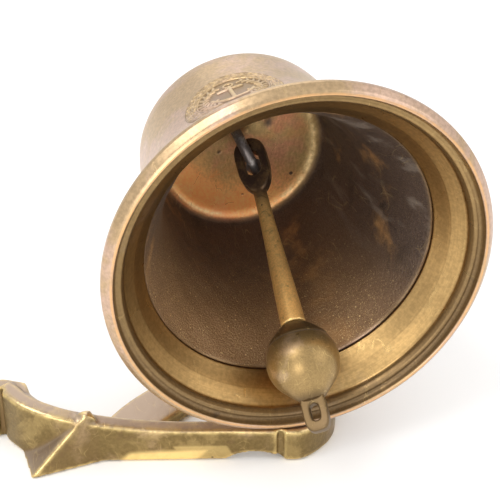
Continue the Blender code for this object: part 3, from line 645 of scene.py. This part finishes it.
def casting_finish(name, c, clean, bloom, tarnish, rub, *, patch, gold_share=0.0, upward_sheen_share=0.0,
                   metallic=1.0):
    """Brass of a handled casting: patina, a painted sheen on faces that point up, bright worn
    edges, tarnish in corners with painted shade where it is given, pits, scratches.
    """
    material, board, shader, place = new_material(name, metallic)
    base = patina(board, place, clean, bloom, tarnish, patch=patch, bloom_share=0.40, tarnish_share=0.42)
    tone = base["Colour"]
    # painted sheen: faces that point up turn a lighter pinkish grey, a painted reflection of the light
    # overhead
    if upward_sheen_share:
        up = board.times(board.field("upward"), upward_sheen_share)
        tone = board.mix(up, tone, c.upward)
    if gold_share:
        rubbed = board.clouds(place, 38.0, 0.50, 0.64, detail=5.0, roughness=0.62, distortion=0.5)
        tone = board.mix(board.times(rubbed, gold_share), tone, c.gold)
    ragged = board.clouds(place, 160.0, 0.34, 0.56, 0.85, 1.0, detail=5.0, roughness=0.65)
    tone = board.mix(board.times(board.field("rubbed"), ragged), tone, rub)
    # tarnish in corners, and on the wall casting painted shade in the recess behind its ridge
    tone = board.paint(tone, c.tarnish, board.field("hollow"), 0.75)
    broken = board.clouds(place, 260.0, 0.32, 0.62, 0.25, 1.0, detail=4.0, roughness=0.6)
    unrubbed = board.remap(board.field("rubbed"), 0.0, 1.0, 0.7, 0.05)
    wear = board.times(board.times(board.field("wear"), broken), unrubbed)
    tone = board.mix(wear, tone, c.gold)
    pits = board.effect("Pits", place, 0.0042, Share=0.10)["Mask"]
    tone = board.paint(tone, c.soot, pits, 0.75)
    hairs = board.effect("Fine Scratches", place, 0.012)["Mask"]
    tone = board.paint(tone, c.gold, hairs, 0.14)
    grain = board.effect("Casting Grain", place, 0.0018)
    rough = board.total((base["Dullness"], 0.20), (board.field("wear"), -0.08), (hairs, -0.06),
                        (1.0, 0.31))
    height = board.total((grain["Height"], 0.16), (pits, -0.55), (hairs, -0.12),
                         (board.noise(place, 110.0, 3.0), 0.5))
    finish_shader(board, shader, tone, rough, height, 0.28 * MM)
    return material


def ball_finish(c):
    """Olive brass of the ball, its cone darker, with a seam line and a few knocks."""
    material, board, shader, place = new_material("clapper_ball_brass", 0.80)
    base = patina(board, place, c.clapper, c.outside, c.clapper_dark, patch=0.022, bloom_share=0.45,
                  tarnish_share=0.30)
    cap = board.times(board.field("cap"), 0.90)
    tone = board.mix(cap, base["Colour"], c.clapper_dark)
    tone = board.paint(tone, c.streak, board.field("seam"), 0.7)
    hairs = board.effect("Fine Scratches", place, 0.008)["Mask"]
    tone = board.paint(tone, c.gold, hairs, 0.3)
    pits = board.effect("Pits", place, 0.0052, Share=0.22)["Mask"]
    tone = board.paint(tone, c.clapper_dark, pits, 0.6)
    rough = board.total((base["Dullness"], 0.16), (cap, 0.08), (1.0, 0.32))
    height = board.total((board.noise(place, 150.0, 4.0), 0.55), (pits, -0.5), (hairs, -0.12))
    finish_shader(board, shader, tone, rough, height, 0.22 * MM)
    return material


def medallion_finish(c):
    """Brass of the medallion: bright on its high parts, tarnished in its ground."""
    material, board, shader, place = new_material("medallion_brass")
    base = patina(board, place, c.outside, c.bloom, c.tarnish, patch=0.03, bloom_share=0.5,
                  tarnish_share=0.3)
    high = board.field("high")
    ground = board.mix(board.remap(high, 0.05, 0.6, 0.55, 0.0), base["Colour"], c.tarnish)
    tone = board.mix(board.remap(high, 0.5, 1.0, 0.0, 0.35), ground, c.gold)
    tone = board.mix(board.field("outline"), tone, c.tarnish)
    grain = board.effect("Casting Grain", place, 0.0009)
    rough = board.total((base["Dullness"], 0.18), (high, -0.06), (1.0, 0.34))
    height = board.total((grain["Height"], 0.5), (board.noise(place, 500.0, 3.0), 0.3))
    finish_shader(board, shader, tone, rough, height, 0.10 * MM)
    return material


def steel_finish(name, c, rust_share):
    """Dark oiled steel with rubbed places and a little rust."""
    material, board, shader, place = new_material(name, 0.7)
    base = patina(board, place, c.steel, c.steel_bright, c.rust, patch=0.008, bloom_share=0.35,
                  tarnish_share=rust_share)
    hairs = board.effect("Fine Scratches", place, 0.006)["Mask"]
    tone = board.mix(board.times(hairs, 0.5), base["Colour"], c.steel_bright)
    grain = board.effect("Casting Grain", place, 0.0012)
    rough = board.total((base["Dullness"], 0.25), (hairs, -0.08), (1.0, 0.34))
    finish_shader(board, shader, tone, rough, board.total((grain["Height"], 0.4), (hairs, -0.2)),
                  0.12 * MM)
    return material


def floor_finish(c):
    """Matt pale floor with a faint unevenness of tone."""
    material, board, shader, place = new_material("pale_floor", 0.0)
    soft = board.clouds(place, 3.0, 0.2, 0.8, 0.985, 1.0, detail=3.0)
    tone = board.shade(c.floor, soft)
    board.put(shader.inputs["Base Color"], tone)
    shader.inputs["Roughness"].default_value = 0.85
    shader.inputs["Specular IOR Level"].default_value = 0.1
    return material


# ---- bell -------------------------------------------------------------------------
def bell_line():
    """Radius and height over the rim plane, in millimetres: from the crown's middle down the
    outside, round the lip and up the inside to the middle of the crown's floor."""
    shoulder = smooth_line([(45.0, 147.0), (52.5, 143.6), (57.4, 137.6), (59.2, 129.0)], 8)
    waist = smooth_line([(59.2, 129.0), (60.8, 112.0), (63.2, 92.0), (67.4, 70.0), (74.2, 50.0),
                         (84.0, 31.0), (95.0, 14.5)], 12)
    lip = [(98.6, 9.6), (100.0, 6.6), (100.0, 4.2), (97.4, 1.0), (95.6, 0.0), (94.8, 0.3), (93.9, 3.0),
           (93.0, 4.2), (92.1, 4.2), (91.2, 3.9), (90.0, 4.5), (89.0, 6.4), (88.4, 8.6), (87.9, 9.3),
           (82.0, 15.4), (75.4, 24.0), (76.0, 24.4)]
    inside = smooth_line([(75.6, 25.6), (67.4, 40.0), (60.8, 57.0), (56.0, 79.0), (53.0, 104.0),
                          (51.0, 124.0)], 12)
    floor = [(49.4, 132.0), (46.4, CROWN_FLOOR - 1.0), (42.0, CROWN_FLOOR), (0.0, CROWN_FLOOR)]
    return np.vstack([[(0.0, CROWN_TOP), (34.0, CROWN_TOP - 0.4)], shoulder, waist[1:], lip, inside,
                      floor])


def bell_section():
    """The softened bell line at even 0.1 mm steps."""
    step = 0.1
    line = bell_line()
    return soften(walk(line, np.arange(0.0, distances(line)[-1], step)), 0.28, step)


def make_bell(sizes, colours):
    """Bell skin: the section is carried round the bell's axis.  Its rows stand closer near the
    lip, and its inner wall is moved along its normal by a sum of seeded waves."""
    line = bell_section()
    along = distances(line)
    pace = np.where(line[:, 1] < 27.0, 0.45, 2.0)
    clock = np.r_[0.0, np.cumsum(np.diff(along) / pace[1:])]
    places = np.interp(np.linspace(0.3, clock[-1] - 0.3, int(clock[-1])), clock, along)
    radius, height = walk(line, places).T
    lowest = along[line[:, 1].argmin()]
    inner = ramp(lowest - 0.2, lowest + 0.2, places)
    slope = np.gradient(walk(line, places), places, axis=0)
    slope /= np.linalg.norm(slope, axis=1)[:, None]
    columns = 256
    turn = np.arange(columns) * TURN / columns
    wall = inner * ramp(25.2, 27.5, height)
    floor = inner * ramp(133.0, 136.5, height)
    amount = wall * (1 - floor) + 0.12 * (1 - inner) * ramp(12.0, 30.0, height)
    push = (sizes.unevenness / MM * amount)[:, None] * waves(7, turn[None, :], places[:, None], 60.0,
                                                             12.0, 40)
    out_radius = radius[:, None] - slope[:, 1:2] * push
    out_height = height[:, None] + slope[:, 0:1] * push
    grid = bell_place(out_radius * np.cos(turn), out_height, out_radius * np.sin(turn))
    mesh = mesh_of("bell_skin", [skin(grid)])
    whole, rows = np.ones(columns), np.ones(len(places))

    def side(degrees, low, high):
        """Rises from 0 to 1 towards one side of the bell."""
        return ramp(low, high, np.cos(turn - math.radians(degrees)))

    lip = inner * between(0.8, 7.4, 0.5, height) * (0.80 + 0.20 * ramp(91.2, 92.2, radius))
    fields = {
        "along": (places, whole),
        "inside": (wall * (1 - floor), whole),
        "crown_floor": (floor, whole),
        "floor_ring": (floor * between(43.5, 46.5, 0.8, radius), whole),
        "turned_band": (inner * between(BAND_START, BAND_END, 0.3, height), whole),
        "rim_edge": (between(lowest - 0.8, lowest + 0.5, 0.35, places), whole),
        "dark_line": (inner * between(24.1, 25.5, 0.25, height) * (radius > 74.0), whole),
        "lip_groove": (lip, 0.45 + 0.55 * side(285.0, -0.5, 0.7)),
        # painted shade on the upper side of the turned band
        "upper_side": (rows, side(140.0, -0.3, 0.9)),
        "low_side": (1 - ramp(40.0, 118.0, height), side(250.0, -0.2, 0.9)),
        # painted light on the crown's floor: the side where light falls in, where the orange heat tint
        # also lies
        "warm_side": (0.8 * floor * ramp(8.0, 40.0, radius), side(250.0, -0.1, 0.9)),
        "streak_side": (rows, side(35.0, 0.2, 0.9)),
    }
    for name, (down_the_wall, round_the_axis) in fields.items():
        add_field(mesh, name, np.outer(down_the_wall, round_the_axis))
    add_piece(mesh, "bell", "bell_brass", bell_finish(colours), "bell_shell")


def stroke_height(u, v, line, half, tall):
    """Rounded ridge along a line: tall * sqrt(1 - (d / half)^2), d the distance to its points."""
    line = np.asarray(line, float)
    gap = np.full(u.shape, np.inf)
    for x, y in walk(line, np.arange(0.0, distances(line)[-1] + 0.35, 0.35)):
        gap = np.minimum(gap, (u - x) ** 2 + (v - y) ** 2)
    return tall * np.sqrt(np.clip(1 - gap / half ** 2, 0.0, 1.0))


def circle(x, y, radius, start, end, count=40):
    """Points on an arc, in degrees."""
    turn = np.radians(np.linspace(start, end, count))
    return np.stack([x + radius * np.cos(turn), y + radius * np.sin(turn)], axis=-1)


def medallion_relief(u, v):
    """Relief from 0 to about 1 of a plain anchor between two leaf sprigs in a woven ring."""
    away, turn = np.hypot(u, v), np.arctan2(v, u)
    spokes = np.sin(26 * turn + 2.4 * np.sin(1.5 * away))
    strands = np.cos(1.9 * (away - 23.6) + 1.6 * np.sin(13 * turn))
    weave = spokes * strands
    band_height = between(20.3, 27.0, 0.4, away) * (0.55 + 0.35 * weave)
    rings = np.maximum(between(19.4, 20.0, 0.25, away), 0.9 * between(27.3, 27.7, 0.2, away))
    total = np.maximum(band_height, 0.8 * rings)
    strokes = [([(0.0, 9.0), (0.0, -11.5)], 1.3, 1.0), (circle(0, 11.6, 2.5, 0, 360), 0.8, 0.8),
               ([(-6.4, 6.4), (6.4, 6.4)], 1.05, 0.9), (circle(0, -1.2, 10.4, 205, 335), 1.35, 0.95),
               ([(-11.2, -2.2), (-9.2, -6.4)], 1.3, 0.95), ([(11.2, -2.2), (9.2, -6.4)], 1.3, 0.95),
               ([(-12.0, -5.2), (-8.0, -3.8)], 0.9, 0.8), ([(12.0, -5.2), (8.0, -3.8)], 0.9, 0.8)]
    for side in (-1, 1):
        middle = 90 - side * 90
        strokes.append((circle(0, 0, 15.8, middle - 62, middle + 62), 0.55, 0.6))
        for k in range(10):
            at = math.radians(middle + side * (k * 13.0 - 58.0))
            for lean, reach in ((0.13, 18.4), (0.15, 13.4)):
                start = (15.8 * math.cos(at), 15.8 * math.sin(at))
                tip = (reach * math.cos(at + side * lean), reach * math.sin(at + side * lean))
                strokes.append(([start, tip], 0.95, 0.75))
    for line, half, tall in strokes:
        total = np.maximum(total, stroke_height(u, v, line, half, tall))
    return total


def make_medallion(sizes, colours):
    """Medallion: a disc in polar steps laid over the waist, lifted along the bell's normal by
    its relief; its edge and its back lie just under the bell's skin."""
    edge = sizes.medallion_radius / MM
    columns = 288
    turn = np.arange(columns) * TURN / columns
    front = np.r_[np.linspace(0.15, edge - 0.6, 116), edge - 0.3, edge]
    reach = np.r_[front, edge - 0.3, np.linspace(edge - 2, 0.5, 6)]
    u, v = reach[:, None] * np.cos(turn), reach[:, None] * np.sin(turn)
    relief = medallion_relief(u, v)
    lift = 0.12 + relief * sizes.relief / MM
    lift = np.where(reach[:, None] > edge - 0.7, 0.10, lift)
    lift[len(front) - 1] = -0.25
    lift[len(front):] = -0.6
    line = bell_section()
    outer = line[:line[:, 1].argmin()]
    along = distances(outer)
    centre = np.interp(-78.0, -outer[:, 1], along)
    place = centre - v
    radius, height = np.interp(place, along, outer[:, 0]), np.interp(place, along, outer[:, 1])
    slope = np.gradient(outer, along, axis=0)
    tilt_r, tilt_h = np.interp(place, along, slope[:, 0]), np.interp(place, along, slope[:, 1])
    angle = math.radians(90.0 + 15.6) + u / radius
    radius, height = radius - tilt_h * lift, height + tilt_r * lift
    grid = bell_place(radius * np.cos(angle), height, radius * np.sin(angle))
    mesh = mesh_of("medallion", [skin(grid)])
    add_field(mesh, "high", relief)
    add_field(mesh, "outline", np.outer(0.8 * ramp(edge - 0.8, edge - 0.4, reach), np.ones(columns)))
    add_piece(mesh, "bell", "bell_brass", medallion_finish(colours))


def make_staple(sizes, colours):
    """Staple: a wire circle carried along two straight legs and a half-round bow, with swollen
    roots at the crown's floor and a screw thread cut on its outer ends."""
    wire = sizes.wire_radius / MM
    top = 162.6
    bow = circle(0.0, STAPLE_BOW + STAPLE_HALF, STAPLE_HALF, 0, -180, 60)
    line = np.vstack([[(STAPLE_HALF, top)], bow, [(-STAPLE_HALF, top)]])
    total = distances(line)[-1]
    places = np.linspace(0.0, total, 420)
    path = walk(line, places)
    ahead = np.gradient(path, axis=0)
    ahead /= np.linalg.norm(ahead, axis=1)[:, None]
    ring = np.arange(28) * TURN / 28
    height = path[:, 1:2]
    cut = 0.22 * ramp(154.0, 154.6, height)      # half the thread's depth, on the outer ends only
    thread = cut * np.cos(ring + TURN * height * MM / sizes.thread_pitch)
    radius = wire - cut + thread
    radius = radius + 1.9 * np.exp(-((height - 137.2) / 1.5) ** 2) * (1 + 0.15 * np.cos(3 * ring))
    radius = radius * np.where((places < 0.5) | (places > total - 0.5), 0.86, 1.0)[:, None]
    across = path[:, :1] - ahead[:, 1:2] * radius * np.cos(ring)
    depth = path[:, 1:2] + ahead[:, 0:1] * radius * np.cos(ring)
    side = radius * np.sin(ring)
    cosine, sine = math.cos(STAPLE_TWIST), math.sin(STAPLE_TWIST)
    grid = bell_place(STAPLE_SHIFT + across * sine + side * cosine, depth,
                      side * sine - across * cosine)
    mesh = mesh_of("staple_wire", [skin(grid)])
    add_piece(mesh, "bell", "dark_steel", steel_finish("staple_steel", colours, 0.40), "crown_staple")


# ---- clapper ----------------------------------------------------------------------
def clapper_place(grid):
    """Points drawn in millimetres with the clapper along -Z and the eye's hole along Y, leaned
    and turned to where the clapper rests."""
    lean = Euler((math.radians(30.5 - 90.0), math.radians(-0.4), 0.0)).to_matrix()
    turn = np.array(lean @ Matrix.Rotation(math.radians(-22.0), 3, "Z"))
    bow = np.array([STAPLE_SHIFT * MM, MOUTH_Y + STAPLE_BOW * MM, AXIS_Z])
    return grid * MM @ turn.T + bow


def mesh_points(mesh):
    """Points of a mesh as an array."""
    points = np.zeros(len(mesh.vertices) * 3, np.float32)
    mesh.vertices.foreach_get("co", points)
    return points.reshape(-1, 3)


def clapper_depth(mesh):
    """Distance of a mesh's points from the staple's bow along the clapper, in millimetres."""
    bow, tip = clapper_place(np.array([[0.0, 0.0, 0.0], [0.0, 0.0, -1.0]]))
    return (mesh_points(mesh) - bow) @ (tip - bow) / MM ** 2


def square_wave(angle, sharpness):
    """cos and sin of an angle, each raised to a power under one, which squares a circle."""
    c, s = np.cos(angle), np.sin(angle)
    return np.sign(c) * np.abs(c) ** sharpness, np.sign(s) * np.abs(s) ** sharpness


def link(inner, outer, thickness, sharpness):
    """Ring between two closed lines in XZ: a squared circle whose width is the gap between the
    lines is carried round the line half way between them."""
    across, up = square_wave(np.arange(48) * TURN / 48, sharpness)
    middle, half = (inner + outer) / 2, (outer - inner) / 2
    flat = middle[:, None] + half[:, None] * across[None, :, None]
    depth = np.broadcast_to(up * thickness / 2, flat.shape[:2])
    return np.stack([flat[..., 0], depth, flat[..., 1]], axis=-1)


def make_clapper(sizes, colours):
    """Clapper stem: the eye's ring and the turned shank melted into one, and the turned ball
    with its lanyard link."""
    angle = np.arange(160) * TURN / 160
    c, s = np.cos(angle), np.sin(angle)
    upper = np.tanh(4 * s)
    hole = np.stack([4.5 * c, -0.3 + 3.3 * upper + 4.5 * s], axis=-1)
    rim = np.stack([9.2 * c, 1.7 + 4.7 * upper + (12.6 - 3.4 * upper) * s], axis=-1)
    shank = [(0.0, -11.5)] + smooth_line([(3.4, -12.2), (3.8, -18.0), (4.0, -32.0), (4.8, -54.0),
                                          (6.0, -78.0), (6.8, -99.9)], 10).tolist() + [(0.0, -100.4)]
    raw = mesh_of("clapper_shank", [skin(clapper_place(link(hole, rim, 7.9, 0.30)), loop=True),
                                    skin(clapper_place(turned(shank, 0.8, 72, 0.3)))])
    stem = fuse(raw, sizes.stem_grid, 10)
    mark_shape(stem)
    depth = clapper_depth(stem)
    add_field(stem, "rubbed", ramp(34.0, 15.0, depth))
    finish = casting_finish("clapper_shank_brass", colours, colours.shank, colours.machined,
                            colours.clapper_dark, colours.rust, patch=0.024, metallic=0.62)
    add_piece(stem, "clapper", "clapper_brass", finish, "clapper_stem")

    top = -BALL_DROP
    swell = np.radians(np.linspace(57, 136, 60))
    profile = np.vstack([[(0.0, top + 20.7), (7.0, top + 20.7)],
                         smooth_line([(7.4, top + 20.3), (11.6, top + 16.8), (15.3, top + 12.8),
                                      (15.9, top + 11.3)], 8),
                         [(15.85, top + 11.0), (16.2, top + 10.8)],
                         np.stack([BALL_RADIUS * np.sin(swell), top + BALL_RADIUS * np.cos(swell)],
                                  axis=-1),
                         smooth_line([(12.0, top - 15.6), (8.6, top - 19.0), (5.6, top - 22.0)], 8),
                         [(0.0, top - 23.0)]])
    ball = turned(profile, 0.42, 144, 0.10)
    slot = np.stack([2.4 * c, top - 28.7 + 2.1 * upper + 2.4 * s], axis=-1)
    squared = square_wave(angle, 0.58)
    body = np.stack([6.6 * squared[0], top - 27.4 + 11.4 * squared[1]], axis=-1)
    ring = link(slot, body, 6.3, 0.36)
    mesh = mesh_of("ball_and_link", [skin(clapper_place(ball)), skin(clapper_place(ring), loop=True)])
    height = np.r_[ball[..., 2].ravel(), ball[0, 0, 2], ball[-1, 0, 2], ring[..., 2].ravel()]
    add_field(mesh, "cap", np.maximum(ramp(top + 10.6, top + 11.1, height),
                                      ramp(top - 17.0, top - 22.0, height)))
    add_field(mesh, "seam", between(top + 10.7, top + 11.2, 0.2, height))
    add_piece(mesh, "clapper", "clapper_brass", ball_finish(colours), "clapper_ball")


# ---- bracket ----------------------------------------------------------------------
def make_bracket(sizes, colours):
    """Wall casting and hanger arm: welded copies melted to an even grid, softened as castings
    are, and marked where they wear."""
    rail = fuse(welded_copy("bracket_casting", "wall_casting"), sizes.casting_grid, 12)
    x, depth, z = mesh_points(rail).T / MM
    # two rubbed places on the rail and painted shade in the recess behind the ridge at its left, in
    # millimetres
    patch = between(-94.0, -53.5, 2.6, x - 0.8 * z) * (1 - ramp(5.6, 9.4, z - 0.05 * x - 3.0))
    second = 0.4 * between(-61.0, -33.0, 0.8, x + 0.5 * z) * (1 - ramp(9.6, 11.0, z))
    shade_behind_rib = between(-140.0, -104.5, 1.2, x) * ramp(-152.0, -156.0, depth + 0.22 * (x + 104.0))
    # the recess behind the ridge takes painted shade through the hollows field
    mark_shape(rail, 0.45 * shade_behind_rib)
    add_field(rail, "rubbed", np.maximum(patch, second) * (depth < -150.0))
    finish = casting_finish("wall_casting_brass", colours, colours.bracket, colours.outside,
                            colours.tarnish, colours.gold, patch=0.040, gold_share=0.16, upward_sheen_share=0.85)
    add_piece(rail, "bracket", "bracket_brass", finish, "bracket_casting")
    arm = fuse(welded_copy("hanger_arm", "bracket_arm"), sizes.arm_grid, 6)
    mark_shape(arm)
    finish = casting_finish("bracket_arm_brass", colours, colours.bracket, colours.outside,
                            colours.tarnish, colours.gold, patch=0.034, gold_share=0.30, upward_sheen_share=0.45)
    add_piece(arm, "bracket", "bracket_brass", finish, "hanger_arm")


def make_crown_plate(sizes, colours):
    """Crown plate with its tongue: a welded copy melted to an even grid and softened."""
    plate = fuse(welded_copy("crown_hanger", "crown_plate"), sizes.arm_grid * 0.8, 4)
    mark_shape(plate)
    finish = casting_finish("crown_plate_brass", colours, colours.outside, colours.bloom,
                            colours.tarnish, colours.gold, patch=0.030, gold_share=0.2)
    add_piece(plate, "bell", "bell_brass", finish, "crown_hanger")


# ---- fittings ---------------------------------------------------------------------
def standing(grid, low, high):
    """A turned shape in millimetres, stood on the middle of the lower face of a node's box."""
    return skin(grid * MM + np.array([(low.x + high.x) / 2, (low.y + high.y) / 2, low.z]))


def make_fittings(sizes, colours):
    """Turned screws with a slot across each head, the swing pin with its thread, and finishes
    for the nuts, washers and bush."""
    steel = steel_finish("fitting_steel", colours, 0.30)
    for number in (1, 2, 3):
        node = f"foot_screw_{number}"
        low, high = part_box(node)
        top = (high.z - low.z) / MM
        head = top - SCREW_HEAD
        grid = turned([(0.0, top), (2.2, top - 0.3), (3.8, head + 1.1), (4.2, head), (2.1, head),
                       (2.1, 0.0), (0.0, 0.0)], 0.16, 96, 0.08)
        lean = math.radians(20.0 + 50.0 * number)
        off = np.abs(grid[..., 0] * math.sin(lean) - grid[..., 1] * math.cos(lean))
        in_head = grid[..., 2] > head + 0.4
        floor = np.minimum(grid[..., 2], top - SLOT_DEPTH)
        cut = (1 - ramp(0.42, 0.62, off)) * in_head
        grid[..., 2] = grid[..., 2] * (1 - cut) + floor * cut
        mesh = mesh_of(f"slotted_screw_{number}", [standing(grid, low, high)])
        add_piece(mesh, "bracket", "dark_steel", steel, node)
    low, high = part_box("swing_pin")
    total = (high.z - low.z) / MM
    head = total - PIN_HEAD
    grid = turned([(0.0, total), (5.2, total - 0.4), (6.6, head + 2.6), (6.6, head), (4.0, head),
                   (4.0, 0.8), (3.2, 0.0), (0.0, 0.0)], 0.16, 64, 0.10)
    turn = np.arange(64) * TURN / 64
    wave = THREAD_DEPTH * (np.cos(turn + TURN * grid[..., 2] * MM / sizes.thread_pitch) - 1)
    wave = wave * between(1.0, 8.2, 0.3, grid[..., 2]) * (np.hypot(grid[..., 0], grid[..., 1]) > 3.6)
    grid[..., :2] *= (1 + wave / 4.0)[..., None]
    mesh = mesh_of("turned_pin", [standing(grid, low, high)])
    add_piece(mesh, "bracket", "dark_steel", steel, "swing_pin")
    bronze = steel_finish("bush_bronze_finish", colours, 0.2)
    for node in ("pin_nut", "pin_washer_upper", "pin_washer_lower", "staple_nut_lower",
                 "staple_nut_upper", "staple_washer_lower", "staple_washer_upper", "pin_bush"):
        finish = bronze if node == "pin_bush" else steel
        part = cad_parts[node]
        for holder in part.material_slots:
            holder.link = "OBJECT"
            holder.material = finish


# ---- stage ------------------------------------------------------------------------
def add_softbox(name, place, aim, size, power, tint):
    """A square soft light that faces a point."""
    lamp = bpy.data.lights.new(name, "AREA")
    lamp.size = size
    lamp.energy = power
    lamp.color = tint
    holder = new_object(name, lamp)
    holder.location = place
    toward = np.array(aim) - np.array(place)
    holder.rotation_euler = (math.atan2(math.hypot(toward[0], toward[1]), -toward[2]), 0.0,
                             math.atan2(-toward[0], toward[1]))


def make_stage(sizes, colours):
    """Pale floor, soft studio light and the camera."""
    turn = np.arange(96) * TURN / 96
    reach = sizes.floor_radius * np.linspace(0.02, 1.0, 24) ** 1.5
    top = np.stack([reach[:, None] * np.cos(turn), reach[:, None] * np.sin(turn),
                    np.full((24, 96), -0.0003)], axis=-1)
    under = top[::-1] - np.array([0.0, 0.0, 0.02])
    mesh = mesh_of("floor", [skin(np.vstack([top, under]))])
    mesh.materials.append(floor_finish(colours))
    floor = new_object("floor", mesh)
    for light in LIGHTS:
        add_softbox(*light)
    world = bpy.data.worlds.new("studio")
    world.use_nodes = True
    sky = world.node_tree.nodes["Background"]
    sky.inputs["Color"].default_value = (1.0, 1.0, 1.0, 1.0)
    sky.inputs["Strength"].default_value = 1.0
    scene = bpy.context.scene
    scene.world = world
    scene.view_settings.view_transform = "Standard"
    lens = bpy.data.cameras.new("camera")
    lens.lens = CAMERA_LENS
    lens.sensor_width = 36.0
    lens.clip_start = 0.01
    camera = new_object("camera", lens)
    camera.location = CAMERA_PLACE
    camera.rotation_euler = (math.radians(90.0 - CAMERA_DOWN), 0.0, math.radians(CAMERA_TURN))
    scene.camera = camera


# ---- operators and panel ----------------------------------------------------------
def settings(context):
    """The two groups of settings."""
    return context.scene.ship_bell_sizes, context.scene.ship_bell_colours


class Step:
    """Runs the building function of an operator with the scene's settings."""

    def execute(self, context):
        self.build(*settings(context))
        return {"FINISHED"}


class SHIPBELL_OT_groups(bpy.types.Operator):
    """Build the node groups that the finishes share"""
    bl_idname = "ship_bell.make_groups"
    bl_label = "Shared Finishes"

    def execute(self, context):
        make_groups()
        return {"FINISHED"}


class SHIPBELL_OT_bell(Step, bpy.types.Operator):
    """Turn the bell's skin and mark its zones"""
    bl_idname = "ship_bell.make_bell"
    bl_label = "Bell Skin"
    build = staticmethod(make_bell)


class SHIPBELL_OT_medallion(Step, bpy.types.Operator):
    """Raise the medallion on the bell's waist"""
    bl_idname = "ship_bell.make_medallion"
    bl_label = "Medallion"
    build = staticmethod(make_medallion)


class SHIPBELL_OT_staple(Step, bpy.types.Operator):
    """Bend the staple's wire"""
    bl_idname = "ship_bell.make_staple"
    bl_label = "Staple"
    build = staticmethod(make_staple)


class SHIPBELL_OT_clapper(Step, bpy.types.Operator):
    """Build the clapper's stem, ball and lanyard link"""
    bl_idname = "ship_bell.make_clapper"
    bl_label = "Clapper"
    build = staticmethod(make_clapper)


class SHIPBELL_OT_bracket(Step, bpy.types.Operator):
    """Soften and finish the wall casting and the hanger arm"""
    bl_idname = "ship_bell.make_bracket"
    bl_label = "Bracket"
    build = staticmethod(make_bracket)


class SHIPBELL_OT_crown_plate(Step, bpy.types.Operator):
    """Soften and finish the crown plate"""
    bl_idname = "ship_bell.make_crown_plate"
    bl_label = "Crown Plate"
    build = staticmethod(make_crown_plate)


class SHIPBELL_OT_fittings(Step, bpy.types.Operator):
    """Turn the screws and the pin and finish the nuts, washers and bush"""
    bl_idname = "ship_bell.make_fittings"
    bl_label = "Fittings"
    build = staticmethod(make_fittings)


class SHIPBELL_OT_stage(Step, bpy.types.Operator):
    """Lay the floor and set the lights and the camera"""
    bl_idname = "ship_bell.make_stage"
    bl_label = "Stage"
    build = staticmethod(make_stage)


OPERATORS = (SHIPBELL_OT_groups, SHIPBELL_OT_bell, SHIPBELL_OT_medallion, SHIPBELL_OT_staple,
             SHIPBELL_OT_clapper, SHIPBELL_OT_bracket, SHIPBELL_OT_crown_plate, SHIPBELL_OT_fittings,
             SHIPBELL_OT_stage)


class SHIPBELL_PT_panel(bpy.types.Panel):
    """Settings and steps of the ship bell"""
    bl_idname = "SHIPBELL_PT_panel"
    bl_label = "Ship Bell"
    bl_space_type = "VIEW_3D"
    bl_region_type = "UI"
    bl_category = "Ship Bell"

    def draw(self, context):
        for group in settings(context):
            box = self.layout.box()
            for name in group.bl_rna.properties.keys():
                if name not in ("rna_type", "name"):
                    box.prop(group, name)
        for operator in OPERATORS:
            self.layout.operator(operator.bl_idname)


CLASSES = (ShipBellSizes, ShipBellColours, *OPERATORS, SHIPBELL_PT_panel)


def register():
    """Register the classes and hang the settings on the scene."""
    for cls in CLASSES:
        bpy.utils.register_class(cls)
    bpy.types.Scene.ship_bell_sizes = bpy.props.PointerProperty(type=ShipBellSizes)
    bpy.types.Scene.ship_bell_colours = bpy.props.PointerProperty(type=ShipBellColours)


def unregister():
    """Take the settings and the classes away again."""
    del bpy.types.Scene.ship_bell_colours
    del bpy.types.Scene.ship_bell_sizes
    for cls in reversed(CLASSES):
        bpy.utils.unregister_class(cls)


def main():
    """Build every piece in order."""
    register()
    for operator in OPERATORS:
        family, name = operator.bl_idname.split(".")
        getattr(getattr(bpy.ops, family), name)()


if __name__ == "__main__":
    main()
